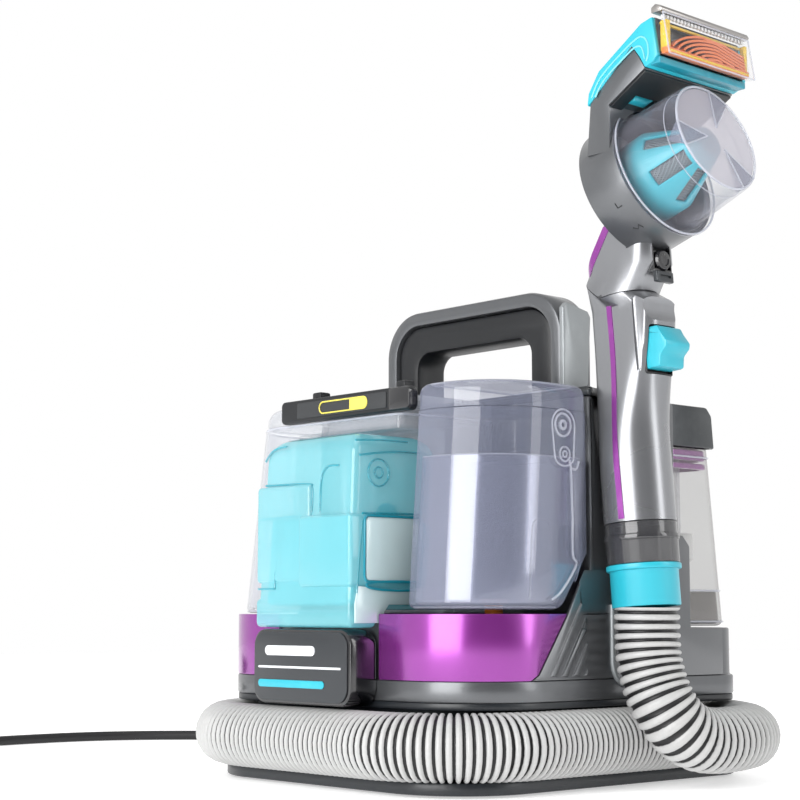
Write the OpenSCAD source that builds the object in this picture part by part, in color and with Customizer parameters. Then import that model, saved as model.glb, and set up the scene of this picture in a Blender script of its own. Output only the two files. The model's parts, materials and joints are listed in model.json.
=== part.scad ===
// Portable carpet and upholstery cleaner: two tanks in front, a recovery tank behind,
// a suction hose stored round the base, and a hand wand with a tool docked at its side.

/* [Base] */
// Half the width of the base plate
base_half = 114; // [112:0.5:115]
// How far the base reaches in front of the middle
base_front = 124; // [122:1:126]
// How far the base reaches behind the middle
base_rear = 122; // [120:1:124]

/* [Body] */
// Half the width of the housing
body_half = 117; // [116.5:0.5:118]
// How far the housing reaches in front of the middle
body_front = 115; // [114:0.5:116]
// How far the housing reaches behind the middle
body_rear = 115; // [113:0.5:116]
// Height of the deck that the front tanks stand on
deck_z = 95; // [94:0.5:96]
// Wall of the housings
wall = 3; // [2.4:0.2:3.4]
// Height of the top of the tower
tower_top = 222; // [220:1:223]

/* [Tanks] */
// Wall of the clear tanks
tank_wall = 2; // [1.6:0.2:2.4]
// Height of the rims of the front tanks
tank_rim = 206; // [204:1:207]
// Half the width of the solution pod
pod_half = 42; // [40:0.5:42.5]
// Height of the solution pod's top
pod_top = 195; // [190:1:196]

/* [Hose] */
// Outer diameter of the suction hose
hose_d = 36; // [34:0.5:36]
// Height of the middle of the stored hose
hose_z = 26; // [26:0.5:26.5]

/* [Wand] */
// Lean of the docked wand towards the housing, in degrees
wand_lean = 4.5; // [4:0.1:5]
// Diameter of the wand's tube
wand_d = 40; // [39:0.5:40.5]

/* [Tool] */
// Width of the tool's nozzle
nozzle_w = 76; // [72:1:78]
// Tilt of the hair cup above level, in degrees
cup_tilt = 18; // [17:0.5:19]
// Length of the hair cup
cup_len = 40; // [38:0.5:41]

/* [Cord] */
// Diameter of the mains lead
cord_d = 7; // [6.5:0.1:7.2]
// Turns of the stored lead across the coil
coil_across = 4; // [3:1:5]
// Layers of turns in the coil
coil_high = 4; // [3:1:5]

/* [Hidden] */
$fn = 64;

// Middle of the object's box, seen from above: it becomes the origin
mid_x = 34.9;
mid_y = -2.5;

gap = 0.3;              // room left between parts that move apart
foot_h = 1.2;           // how far the feet stand out below the base
base_t = 7;             // thickness of the base plate
base_top = foot_h + base_t;
corner_front = 52;      // plan radius of the front corners
corner_rear = 24;       // plan radius of the rear corners
body_bottom = 48.4;
strip_top = 59.6;       // top of the grey strip below the purple band
trim_t = 2;             // thickness of the purple trim and of the side panels
channel_half = 96;      // inner wall of the hose channel
ledge_z = 87;           // height of the ledge that the recovery tank stands on
tower_half = 114;
tower_front = -21.5;
tower_rear = 48;
panel_rear = 61;
hose_r = hose_d / 2;
hose_half = 115;        // half the width of the stored ring of hose
hose_front = -129;
hose_rear = 124;

// Wand: its own frame has z up the wand and x away from the housing
wand_x = 138;
wand_y = -3;
cuff_z = 98.5;
wand_r = wand_d / 2;
seam_s = 180;           // where the tool joins the wand, measured up the wand
bore_r = 10;            // bore that takes the tool's spigot
fit = 0.05;             // radial running clearance

// Tool: flange centre of the hair cup
flange = [154.3, wand_y, 338.3];
drum_r = 39;
drum_len = 26;
cup_r = 32;

pod_front = -134;
pod_rear = -70;

module place() translate([-mid_x, -mid_y, 0]) children();
module slab(z0, z1) translate([0, 0, z0]) linear_extrude(z1 - z0) children();
module along_y(y0, y1) translate([0, y1, 0]) rotate([90, 0, 0]) linear_extrude(y1 - y0) children();
module along_x(x0, x1) translate([x0, 0, 0]) rotate([90, 0, 90]) linear_extrude(x1 - x0) children();
module block(x0, x1, y0, y1, z0, z1) translate([x0, y0, z0]) cube([x1 - x0, y1 - y0, z1 - z0]);
module post(x, y, z0, z1, r) translate([x, y, z0]) cylinder(h = z1 - z0, r = r);
module in_wand() translate([wand_x, wand_y, cuff_z]) rotate([0, -wand_lean, 0]) children();
module in_cup() translate(flange) rotate([0, 90 - cup_tilt, 0]) children();
module both() { children(); mirror([1, 0, 0]) children(); }

// Plan outline with its own radius at the front and rear corners
module plan(half, front, rear, front_r, rear_r) {
  translate([-half, -front + front_r]) square([2 * half, front + rear - front_r - rear_r]);
  translate([-half + front_r, -front]) square([2 * (half - front_r), front_r]);
  translate([-half + rear_r, rear - rear_r]) square([2 * (half - rear_r), rear_r]);
  for (s = [-1, 1]) {
    translate([s * (half - front_r), -front + front_r]) circle(r = front_r);
    translate([s * (half - rear_r), rear - rear_r]) circle(r = rear_r);
  }
}
// Housing outline, moved inwards by an inset
module body_plan(inset) plan(body_half - inset, body_front - inset, body_rear - inset,
  corner_front - inset, corner_rear - inset);
// Rounded rectangle, centred
module round_rect(w, h, r) {
  square([w - 2 * r, h], center = true);
  square([w, h - 2 * r], center = true);
  for (x = [-1, 1], y = [-1, 1]) translate([x * (w / 2 - r), y * (h / 2 - r)]) circle(r = r);
}

// Sweep of a round tube along a list of points
function unit(v) = v / norm(v);
function tangent(p, i) = unit(p[min(i + 1, len(p) - 1)] - p[max(i - 1, 0)]);
function arc(cx, cy, z, r, a0, a1, n) = [for (k = [0:n])
  let (a = a0 + (a1 - a0) * k / n) [cx + r * cos(a), cy + r * sin(a), z]];
function line(a, b, n) = [for (k = [1:n - 1]) a + (b - a) * k / n];
module sweep_tube(p, r, sides, ref) {
  n = len(p);
  rings = [for (i = [0:n - 1])
    let (t = tangent(p, i), u = unit(cross(t, ref)), v = cross(t, u))
      for (k = [0:sides - 1]) p[i] + r * (cos(360 * k / sides) * u + sin(360 * k / sides) * v)];
  sides_faces = [for (i = [0:n - 2], k = [0:sides - 1])
    [i * sides + k, i * sides + (k + 1) % sides,
     (i + 1) * sides + (k + 1) % sides, (i + 1) * sides + k]];
  caps = [[for (k = [sides - 1:-1:0]) k], [for (k = [0:sides - 1]) (n - 1) * sides + k]];
  polyhedron(points = rings, faces = concat(sides_faces, caps), convexity = 8);
}

// Route of the suction hose: down from the wand, outboard round the rear corner,
// once round the base and into the housing at its right rear
hose_r_front = 60;
hose_r_rear = 40;
hose_hang = [
  [138, -3, 98.5], [138, -3, 84], [139.2, -3.2, 70], [142.5, -2.5, 57], [147, -0.5, 45.5],
  [151, 6, 35], [153, 18, 28.2], [153.5, 34, hose_z], [152, 50, hose_z], [147.8, 66.5, hose_z],
  [139.5, 83, hose_z], [125, 97.5, hose_z], [108, 110, hose_z], [90, 120, hose_z],
  [75, hose_rear, hose_z]
];
hose_left = -hose_half;
hose_ring = concat(
  line([75, hose_rear, hose_z], [hose_left + hose_r_rear, hose_rear, hose_z], 5),
  arc(hose_left + hose_r_rear, hose_rear - hose_r_rear, hose_z, hose_r_rear, 90, 180, 5),
  line([hose_left, hose_rear - hose_r_rear, hose_z], [hose_left, hose_front + hose_r_front, hose_z], 5),
  arc(hose_left + hose_r_front, hose_front + hose_r_front, hose_z, hose_r_front, 180, 270, 6),
  line([hose_left + hose_r_front, hose_front, hose_z], [hose_half - hose_r_front, hose_front, hose_z], 4),
  arc(hose_half - hose_r_front, hose_front + hose_r_front, hose_z, hose_r_front, 270, 360, 6),
  line([hose_half, hose_front + hose_r_front, hose_z], [hose_half, 36, hose_z], 4),
  [[hose_half, 36, hose_z], [112, 52, hose_z], [104.5, 66, hose_z], [93, 76, hose_z]]
);
hose_route = concat(hose_hang, hose_ring);

// Route of the mains lead on the floor, from the gland to the coil
cord_z = cord_d / 2;
cord_route = [
  [-82, 148, 56], [-82, 157, 55], [-82.3, 167, 50.5], [-83, 176, 42], [-84.5, 183.5, 31],
  [-87, 190.5, 19.5], [-92, 198, 10], [-101, 205, 4.8], [-114, 209, cord_z], [-132, 208.5, cord_z],
  [-156, 201, cord_z], [-184, 186, cord_z], [-214, 166, cord_z], [-244, 143, cord_z],
  [-274, 118, cord_z], [-304, 91, cord_z], [-333, 63, cord_z], [-358, 36, cord_z],
  [-377, 10, cord_z], [-389, -17, cord_z], [-394.5, -45, cord_z], [-395, -73, cord_z],
  [-393.5, -100, cord_z], [-392.5, -124, cord_z], [-394, -142, cord_z], [-396, -154, cord_z]
];
coil_mid_r = 6 * cord_d;                       // mid-turn radius of the coil
coil_in = coil_mid_r - coil_across * cord_d / 2;
coil_out = coil_mid_r + coil_across * cord_d / 2;
coil_h = coil_high * cord_d;
coil_at = [-446, -148];

// ---- base ----
module base_plate() color([0.17, 0.19, 0.21]) place() {
  difference() {
    slab(foot_h, base_top) plan(base_half, base_front, base_rear, 51, 30);
    for (x = [-88, 88], y = [-84, 88]) post(x, y, 0, foot_h + 2, 11 + gap);
    for (x = [-80, 80], y = [-60, 60]) post(x, y, foot_h - 1, base_top + 1, 2.2);
  }
}
module feet() color([0.1, 0.1, 0.1]) place()
  for (x = [-88, 88], y = [-84, 88]) post(x, y, 0, foot_h + 2, 11);
module screws() color([0.7, 0.7, 0.72]) place()
  for (x = [-80, 80], y = [-60, 60]) {
    post(x, y, base_top, base_top + 2, 4);
    post(x, y, foot_h + 0.5, base_top, 2);
  }
// Dark wall inside the stored hose, with the skirt that covers the hose from above
module hose_channel() color([0.16, 0.18, 0.2]) place() {
  difference() {
    union() {
      slab(base_top, body_bottom) plan(channel_half, 108, 101, 36, 14);
      slab(44.6, body_bottom) body_plan(0.5);
    }
    slab(base_top - 1, body_bottom + 1) plan(channel_half - wall, 108 - wall, 101 - wall, 33, 11);
    block(86, 110, 35, 98, base_top - 1, 44.6);
  }
}

// ---- housing ----
module body_shell() color([0.55, 0.56, 0.58]) place() difference() {
  union() {
    slab(body_bottom, strip_top) body_plan(0);
    slab(strip_top, deck_z) body_plan(trim_t);
  }
  slab(body_bottom - 1, ledge_z - wall) body_plan(trim_t + wall);
  intersection() {
    slab(body_bottom - 1, deck_z - wall) body_plan(trim_t + wall);
    block(-130, 130, -130, tower_rear, body_bottom - 1, deck_z);
  }
  block(-130, 130, tower_rear, 130, ledge_z, deck_z + 1);
  block(-110, 110, tower_front + wall, tower_rear - wall, deck_z - wall - 1, deck_z + 1);
  for (x = [-85, 87]) post(x, -70, deck_z - wall - 1, deck_z + 1, 8.5);
}
// Side outline of the purple trim, which ends in a slant
module band_side() polygon([[-135, strip_top], [-72, strip_top], [-67, strip_top + 3],
  [-44, deck_z], [-135, deck_z]]);
module band_right() intersection() {
  difference() {
    slab(strip_top + 0.1, deck_z) body_plan(0);
    slab(strip_top, deck_z + 1) body_plan(trim_t);
    block(-130, pod_half + 1.6, -130, 130, strip_top, deck_z + 1);
  }
  along_x(0, 130) band_side();
}
module purple_band_right() color([0.5, 0.18, 0.53]) place() band_right();
module purple_band_left() color([0.5, 0.18, 0.53]) place() mirror([1, 0, 0]) band_right();

module badge_box() color([0.07, 0.07, 0.08]) place() {
  difference() {
    along_y(pod_front, -body_front - 0.1) translate([0, 66]) round_rect(2 * pod_half + 1, 41.4, 9);
    along_y(pod_front + 2.5, -body_front + 1) translate([0, 66]) round_rect(2 * pod_half - 4, 36.4, 6.5);
  }
}
module badge_plate() color([0.35, 0.36, 0.38]) place()
  along_y(pod_front - 1.2, pod_front) translate([0, 66]) round_rect(2 * pod_half - 3, 38, 8);

// Side outline of the flush panel behind the slant
module panel_side() polygon([[-71, strip_top + 0.2], [-66, strip_top + 3], [-43, deck_z],
  [-24, 126.4], [-24, 216], [tower_rear, 216], [tower_rear, 140], [panel_rear - 6, 140],
  [panel_rear, 134], [panel_rear, ledge_z], [90, ledge_z], [90, strip_top + 0.2]]);
rib_z = [62, 118];
module side_panel_right() color([0.5, 0.51, 0.53]) place() difference() {
  union() {
    along_x(tower_half + 1.1, body_half) panel_side();
    // five slanted ribs
    for (k = [0:4]) intersection() {
      along_x(body_half - 1, body_half + 1.2)
        polygon([[-58 + 9 * k, rib_z[0]], [-54 + 9 * k, rib_z[0]],
          [-54 + 9 * k + 36, rib_z[1]], [-58 + 9 * k + 36, rib_z[1]]]);
      block(100, 130, -70, -29, rib_z[0], 120 - 11 * max(k - 1, 0));
    }
  }
  // trough that the wand leans into
  in_wand() translate([-wand_r - 1.2, -30, -10]) cube([80, 51, 220]);
}
module side_panel_left() color([0.5, 0.51, 0.53]) place() mirror([1, 0, 0]) difference() {
  along_x(tower_half + 1.1, body_half) panel_side();
  translate([tower_half, 20, 180]) rotate([0, 90, 0]) cylinder(h = 10, r = 4.05);
}
module tower_shell() color([0.45, 0.46, 0.48]) place() difference() {
  block(-tower_half, tower_half, tower_front, tower_rear, deck_z, 216);
  block(-tower_half + wall, 104, tower_front + wall, tower_rear - wall, deck_z - 1, 217);
  in_wand() translate([0, 0, -10]) cylinder(h = 240, r = wand_r + 1.2);
  translate([-tower_half - 1, 20, 180]) rotate([0, 90, 0]) cylinder(h = 10, r = 4.05);
}
module top_cover() color([0.25, 0.26, 0.28]) place() difference() {
  union() {
    block(-tower_half, tower_half, tower_front, tower_rear, 216, tower_top - 2);
    block(-tower_half + 4, tower_half - 4, tower_front + 3, tower_rear - 3, 216, tower_top);
  }
  block(-tower_half + wall, 100, tower_front + wall + 2, tower_rear - wall - 2, 215, 219);
  in_wand() translate([0, 0, -10]) cylinder(h = 240, r = wand_r + 1.2);
  post(0, 33, 214, tower_top + 1, 11 + fit);
}
module power_button() color([0.15, 0.15, 0.16]) place() post(0, 33, 213, tower_top + 4, 11);

// ---- carrying handle ----
handle_half = 76;
handle_top = 285;
module handle_profile(inset, r) difference() {
  translate([0, (handle_top - inset + 160) / 2])
    round_rect(2 * (handle_half - inset), handle_top - inset - 160, r);
  translate([-100, 150]) square([200, tower_top - 150]);
}
module handle_shell() color([0.5, 0.51, 0.53]) place() along_y(-3, 24) difference() {
  handle_profile(0, 28);
  handle_profile(9, 20);
}
module handle_grip() color([0.12, 0.13, 0.14]) place() along_y(-1, 24) difference() {
  handle_profile(9, 20);
  handle_profile(27, 10);
}

// ---- suction hose ----
module suction_hose() color([0.75, 0.75, 0.75]) place()
  sweep_tube(hose_route, hose_r, 12, unit([1, 1, 1]));
module hose_inlet() color([0.3, 0.31, 0.33]) place() difference() {
  union() {
    block(56, 90.5, 64, 96, base_top, 44.4);
    post(72, 80, 44.4, ledge_z - wall, 15);
  }
  post(72, 80, 14, ledge_z, 12);
  // face that the end of the hose meets
  translate([93, 76, hose_z]) rotate([0, 0, 139]) translate([-60, -60, -40]) cube([60, 120, 80]);
}
module hose_cuff() color([0.2, 0.72, 0.8]) place() in_wand() difference() {
  union() {
    translate([0, 0, 0.2]) cylinder(h = 23, r = 18.8);
    translate([0, 0, 20]) cylinder(h = 3.2, r = 20.6);
  }
  translate([0, 0, -1]) cylinder(h = 30, r = 15);
}
module hose_connector() color([0.25, 0.25, 0.26], 0.7) place() in_wand() difference() {
  union() {
    translate([0, 0, 23.4]) cylinder(h = 22.4, r = 20);
    translate([0, 0, 36]) cylinder(h = 3, r = 20.8);
  }
  translate([0, 0, 22]) cylinder(h = 30, r = 16);
}

// ---- wand ----
grip_x = [-16, 30];     // back and front of the grip
grip_y = 14.5;          // half the thickness of the grip
trigger_s = [125.4, 152.2]; // bottom and top of the trigger's slot
module grip_section(h) linear_extrude(h)
  translate([(grip_x[0] + grip_x[1]) / 2, 0]) round_rect(grip_x[1] - grip_x[0], 2 * grip_y, 9);
module wand_body() color([0.55, 0.56, 0.58]) place() in_wand() {
  // pin of the trigger
  translate([trigger_pin[0], 11.5, trigger_pin[1]]) rotate([90, 0, 0])
    cylinder(h = 23, r = 1.5 - fit);
  wand_casing();
}
module wand_casing() difference() {
  union() {
    translate([0, 0, 46]) cylinder(h = 54, r = wand_r);
    hull() {
      translate([0, 0, 100]) cylinder(h = 0.2, r = wand_r, $fn = 32);
      translate([0, 0, 122]) grip_section(0.2, $fn = 32);
    }
    translate([0, 0, 122.2]) grip_section(seam_s - 122.2);
  }
  translate([0, 0, 150]) cylinder(h = 60, r = bore_r);
  translate([0, 0, 40]) cylinder(h = 76, r = 15);
  // slot of the trigger
  translate([12, -11, trigger_s[0]]) cube([30, 22, trigger_s[1] - trigger_s[0]]);
  // hollow for the finger
  translate([38, 20, 164]) rotate([90, 0, 0]) cylinder(h = 40, r = 11);
}
module wand_stripe() color([0.5, 0.18, 0.53]) place() in_wand()
  translate([2.5, -grip_y - 0.5, 124]) cube([4, 0.5, 50]);
trigger_pin = [17, 148];
module trigger() color([0.2, 0.72, 0.8]) place() in_wand() difference() {
  translate([0, 10.5, 0]) rotate([90, 0, 0]) linear_extrude(21)
    polygon([[13, 151], [31, 151], [33, 147], [37, 141], [36, 138], [32, 134.5],
      [31, 128], [20, 128], [14, 140]]);
  translate([trigger_pin[0], 20, trigger_pin[1]]) rotate([90, 0, 0]) cylinder(h = 40, r = 1.5);
}

// ---- tool ----
tool_y = [wand_y - nozzle_w / 2, wand_y + nozzle_w / 2];
module tool_neck() color([0.55, 0.56, 0.58]) place() difference() {
  in_wand() union() {
    translate([0, 0, seam_s + gap]) grip_section(46);
    translate([0, 0, 156]) cylinder(h = 26, r = bore_r - fit);
  }
  in_cup() translate([0, 0, -drum_len - 0.1]) cylinder(h = 200, r = drum_r + 0.1);
  in_cup() translate([-60, -60, -3.4]) cube([140, 120, 60]);
  in_wand() translate([20, 0, 188.5]) rotate([0, 90, 0]) cylinder(h = 20, r = 6 + fit);
}
module neck_stripe() color([0.5, 0.18, 0.53]) place() in_wand()
  translate([-17, -4, 190]) cube([1, 8, 26]);
module release_button() color([0.05, 0.05, 0.05]) place() in_wand()
  translate([24.6, 0, 188.5]) rotate([0, 90, 0]) cylinder(h = 7.4, r = 6);

module shell_profile() polygon([[133, 345], [135.8, 374], [165.8, 399.4], [171, 392],
  [174.6, 385.6], [149, 371], [149, 345]]);
module shell_hollow() polygon([[136, 345], [138.4, 372.4], [165.8, 396], [171, 387.4],
  [146, 373], [146, 345]]);
module tool_shell() color([0.38, 0.39, 0.41]) place() difference() {
  union() {
    along_y(tool_y[0], tool_y[1]) shell_profile();
    in_cup() translate([0, 0, -drum_len]) cylinder(h = drum_len, r = drum_r);
  }
  along_y(tool_y[0] + 2.5, tool_y[1] - 2.5) shell_hollow();
  in_cup() translate([0, 0, -drum_len + 3]) cylinder(h = drum_len + 80, r = drum_r - 3);
  in_cup() cylinder(h = 3.2, r = drum_r + 1.4);
  in_cup() cylinder(h = 60, r = 36.5);
  latch_block();
}
module tool_frame() color([0.2, 0.72, 0.8]) place() difference() {
  along_y(tool_y[0] - 0.5, tool_y[1] + 0.5) polygon([[133.4, 373], [134.5, 380], [142, 391],
    [172.5, 410.5], [180.5, 412.5], [184, 391], [181, 387.8], [175, 385.6], [171.3, 392.2],
    [165.9, 399.6], [135.6, 374]]);
  along_y(tool_y[0] + 2.5, tool_y[1] - 2.5)
    polygon([[169.5, 399.5], [177, 389], [190, 391], [190, 411], [171, 406.5]]);
}
module nozzle_window() color([0.85, 0.9, 0.92], 0.4) place() difference() {
  along_y(tool_y[0] + 0.5, tool_y[1] - 0.5) polygon([[184.2, 391.2], [191, 390], [187, 414],
    [180.8, 414], [180.9, 412.6]]);
  along_y(tool_y[0] + 2, tool_y[1] - 2) polygon([[180, 390], [188.9, 392], [185.5, 412.4],
    [180, 416]]);
}
module nozzle_lip() color([0.6, 0.6, 0.6]) place()
  along_y(tool_y[0], tool_y[1]) polygon([[179.5, 414.2], [187.2, 414.2], [186, 418.5], [182, 420.5],
    [179.5, 418]]);
module brush_frame() color([0.95, 0.75, 0.1]) place() difference() {
  along_y(tool_y[0] + 3, tool_y[1] - 3) polygon([[184.6, 392.6], [187.5, 392.6], [184.8, 410],
    [182.4, 410]]);
  along_y(tool_y[0] + 6, tool_y[1] - 6) polygon([[183, 396], [190, 396], [190, 408],
    [181, 408]]);
}
module brush_fins() color([0.85, 0.45, 0.1]) place()
  for (k = [0:7]) let (y = tool_y[0] + 9 + 8 * k)
    along_y(y, y + 2) polygon([[184.4, 396.1], [186.8, 396.1], [185, 407.9], [183, 407.9]]);
latch_box = [[151, 158], [-30, -14], [373, 378]];
module latch_block() block(latch_box[0][0], latch_box[0][1], latch_box[1][0], latch_box[1][1],
  latch_box[2][0], latch_box[2][1]);
module tool_latch() color([0.2, 0.72, 0.8]) place() difference() {
  latch_block();
  in_cup() cylinder(h = 60, r = 36.5);
}

// Hair cup, with three wedges pressed in from its end
module hair_cup() color([0.85, 0.88, 0.92], 0.4) place() in_cup() {
  difference() {
    union() {
      translate([0, 0, gap]) cylinder(h = 2.4, r = drum_r + 1);
      translate([0, 0, gap]) cylinder(h = cup_len - gap, r1 = 35.5, r2 = cup_r);
    }
    translate([0, 0, gap - 1]) cylinder(h = cup_len - 1, r1 = 33.6, r2 = cup_r - 2);
  }
  for (a = [35:120:275]) rotate([0, 0, a]) translate([0, 2, 0]) rotate([90, 0, 0]) linear_extrude(4)
    polygon([[14, cup_len - 1.9], [30.2, cup_len - 1.9], [30.6, 22]]);
}
module cone_filter() color([0.2, 0.65, 0.8]) place() in_cup() {
  difference() {
    translate([0, 0, -12]) cylinder(h = 14, r = 24);
    translate([0, 0, -13]) cylinder(h = 16, r = 21);
  }
  difference() {
    translate([0, 0, 2]) cylinder(h = 33, r1 = 24, r2 = 9);
    translate([0, 0, 1.9]) cylinder(h = 31, r1 = 22.2, r2 = 8.1);
    for (a = [0:60:300]) rotate([0, 0, a]) translate([4, -4.5, 6]) cube([30, 9, 20]);
  }
}
module filter_mesh() color([0.55, 0.6, 0.63]) place() in_cup() difference() {
  translate([0, 0, 2.6]) cylinder(h = 29, r1 = 21.6, r2 = 8.6);
  translate([0, 0, 2]) cylinder(h = 29.2, r1 = 21.2, r2 = 8);
}

// ---- solution pod ----
module formula_pod() color([0.2, 0.75, 0.82], 0.6) place() difference() {
  union() {
    hull() {
      block(-pod_half, pod_half, pod_front, pod_rear, 97.2, 98);
      block(-pod_half + 2, pod_half - 2, pod_front + 3, pod_rear, pod_top - 12, pod_top - 11);
      block(-pod_half + 9, pod_half - 9, pod_front + 9, pod_rear, pod_top - 1, pod_top);
    }
    block(-pod_half, pod_half, pod_front, -body_front + 1, ledge_z + 0.2, 97.3);
  }
  hull() {
    block(-pod_half + 2, pod_half - 2, pod_front + 2, pod_rear - 2, 99, 100);
    block(-pod_half + 4, pod_half - 4, pod_front + 5, pod_rear - 2, pod_top - 13, pod_top - 12);
    block(-pod_half + 11, pod_half - 11, pod_front + 11, pod_rear - 2, pod_top - 3, pod_top - 2);
  }
  block(-pod_half + 2, pod_half - 2, pod_front + 2, -body_front - 1, ledge_z + 2.2, 99.5);
  translate([0, pod_rear + 1, 150]) rotate([90, 0, 0]) cylinder(h = 8, r = 9);
}
module pod_plug() color([0.1, 0.35, 0.4]) place() translate([0, pod_rear, 150]) rotate([90, 0, 0])
  cylinder(h = 2, r = 9);

// ---- front tanks ----
left_x = [-112, 46];
right_x = [58, 116.6];
tank_front = [-109, -101];    // at the deck and at the top
tank_rear = -27;
// Leaning outline of the front tanks between two heights, moved inwards by an inset
module front_body(inset, z0, z1) hull()
  for (z = [z0, z1]) let (lean = z > 150 ? 1 : 0) {
    post(left_x[0] + 44 + 8 * lean, tank_front[lean] + 44, z, z + 0.2, 44 - inset);
    post(right_x[1] - 44, tank_front[lean] + 44, z, z + 0.2, 44 - inset);
  }
module left_block(inset, z0, z1) intersection() {
  front_body(inset, z0, z1);
  block(left_x[0], left_x[1] - inset, -130, tank_rear - inset, z0, z1 + 0.2);
}
// Bay that the pod slides into, grown outwards by the thickness of its walls
module pod_bay(grow) block(-pod_half - 2.5 - grow, 60, -140, pod_rear + 2.5 + grow,
  deck_z, pod_top + 2.5 + grow);
module left_tank() color([0.85, 0.88, 0.92], 0.3) place() difference() {
  left_block(0, deck_z + 0.4, tank_rim, $fn = 32);
  difference() {
    left_block(tank_wall, deck_z + 0.4 + tank_wall, tank_rim + 1, $fn = 32);
    pod_bay(tank_wall);
  }
  pod_bay(0);
}
module left_tank_lid() color([0.85, 0.88, 0.92], 0.3) place() difference() {
  left_block(1, tank_rim + 0.5, 218, $fn = 32);
  left_block(1 + tank_wall, tank_rim - 3, 218 - tank_wall, $fn = 32);
  block(-58, 60, -120, -97.5, 190, 230);
}
module latch_bar() color([0.1, 0.1, 0.11]) place()
  along_y(-104.5, -97.8) translate([0, 213.4]) round_rect(114, 13.6, 3);
module tank_latches() color([0.08, 0.08, 0.08]) place() {
  for (x = [-34, 40]) block(x - 4, x + 4, -96, -88, 218.3, 225);
}
module right_block(inset, z0, z1) intersection() {
  front_body(inset, z0, z1);
  block(right_x[0] + inset, right_x[1], -130, tank_rear - inset, z0, z1 + 0.2);
}
// The tank's lower rear follows the slant of the side panel
module slant_cut(inset) along_x(0, 130)
  polygon([[-46 - inset, deck_z], [tank_rear - inset, 124], [0, 124], [0, deck_z]]);
module right_tank() color([0.7, 0.74, 0.85], 0.4) place() difference() {
  right_block(0, deck_z + 2, tank_rim, $fn = 32);
  slant_cut(0);
  difference() {
    right_block(tank_wall, deck_z + 2 + tank_wall, tank_rim + 1, $fn = 32);
    slant_cut(tank_wall);
  }
  post(87, -70, deck_z, deck_z + 6, 5 + fit);
}
module right_tank_lid() color([0.7, 0.74, 0.85], 0.4) place() difference() {
  right_block(1, tank_rim + 0.5, 216.5, $fn = 32);
  right_block(1 + tank_wall, tank_rim - 3, 216.5 - tank_wall, $fn = 32);
}
module tank_valve() color([0.95, 0.45, 0.1]) place() {
  post(87, -70, deck_z - 6, deck_z + 5, 5);
  post(87, -70, deck_z + 5, deck_z + 8, 8);
}

// ---- recovery tank ----
rec_half = 112.5;
module rec_side(inset) polygon([[50.5 + inset, ledge_z + 1 + inset], [101 - inset, ledge_z + 1 + inset],
  [89 - inset, 192], [89 - inset, 194], [50.5 + inset, 194]]);
module recovery_tank() color([0.6, 0.6, 0.58], 0.4) place() difference() {
  along_x(-rec_half, rec_half) difference() {
    rec_side(0);
    translate([40, 192]) square([60, 10]);
  }
  along_x(-rec_half + tank_wall, rec_half - tank_wall) rec_side(tank_wall);
  post(72, 80, ledge_z, ledge_z + 4, 10);
}
module recovery_gasket() color([0.5, 0.2, 0.55]) place() difference() {
  block(-rec_half + 2.2, rec_half - 2.2, 52.8, 86.6, 186, 191.8);
  block(-rec_half + 4.4, rec_half - 4.4, 55, 84.4, 185, 193);
}
module recovery_lid() color([0.25, 0.26, 0.28]) place() difference() {
  along_x(-rec_half - 2, rec_half + 2) polygon([[49, 192.3], [89.5, 192.3], [87.5, 212],
    [83, 217], [49, 217]]);
  block(-rec_half, rec_half, 52, 84, 190, 214);
}
module float_guide() color([0.8, 0.8, 0.82], 0.6) place() {
  difference() {
    post(96, 71, 126, 214, 5);
    post(96, 71, 125, 213, 3.6);
  }
  difference() {
    post(96, 71, 123, 126, 9);
    post(96, 71, 122, 127, 3.6);
  }
}
module float() color([0.9, 0.9, 0.9]) place() difference() {
  post(96, 71, 126.4, 142, 12);
  post(96, 71, 126, 143, 5.08);
}

// ---- inside the tower ----
shaft_x = -40;
shaft_y = 13;
module motor_can() color([0.6, 0.6, 0.62]) place() difference() {
  union() {
    post(shaft_x, shaft_y, 130, 190, 27);
    post(shaft_x, shaft_y, 100, 130, 31);
  }
  post(shaft_x, shaft_y, 103, 127, 28);
  post(shaft_x, shaft_y, 134, 186, 24);
  post(shaft_x, shaft_y, 99, 104, 10);
  post(shaft_x, shaft_y, 126, 135, 7);
  post(shaft_x, shaft_y, 185, 187, 7);
}
module bearings() color([0.75, 0.75, 0.77]) place() {
  for (z = [[127, 134], [183, 187]]) difference() {
    post(shaft_x, shaft_y, z[0], z[1], 7);
    post(shaft_x, shaft_y, z[0] - 1, z[1] + 1, 4 + fit);
  }
}
module impeller() color([0.75, 0.76, 0.78]) place() {
  post(shaft_x, shaft_y, 104, 187, 4);
  post(shaft_x, shaft_y, 105, 107, 26);
  post(shaft_x, shaft_y, 140, 176, 18);
  for (k = [0:6]) translate([shaft_x, shaft_y, 107]) rotate([0, 0, 360 * k / 7])
    translate([8, -0.8, 0]) cube([17, 1.6, 12]);
}
module pump() color([0.2, 0.2, 0.22]) place() {
  block(20, 62, -8, 34, 96, 130);
  post(41, 13, 130, 150, 14);
}

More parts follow.
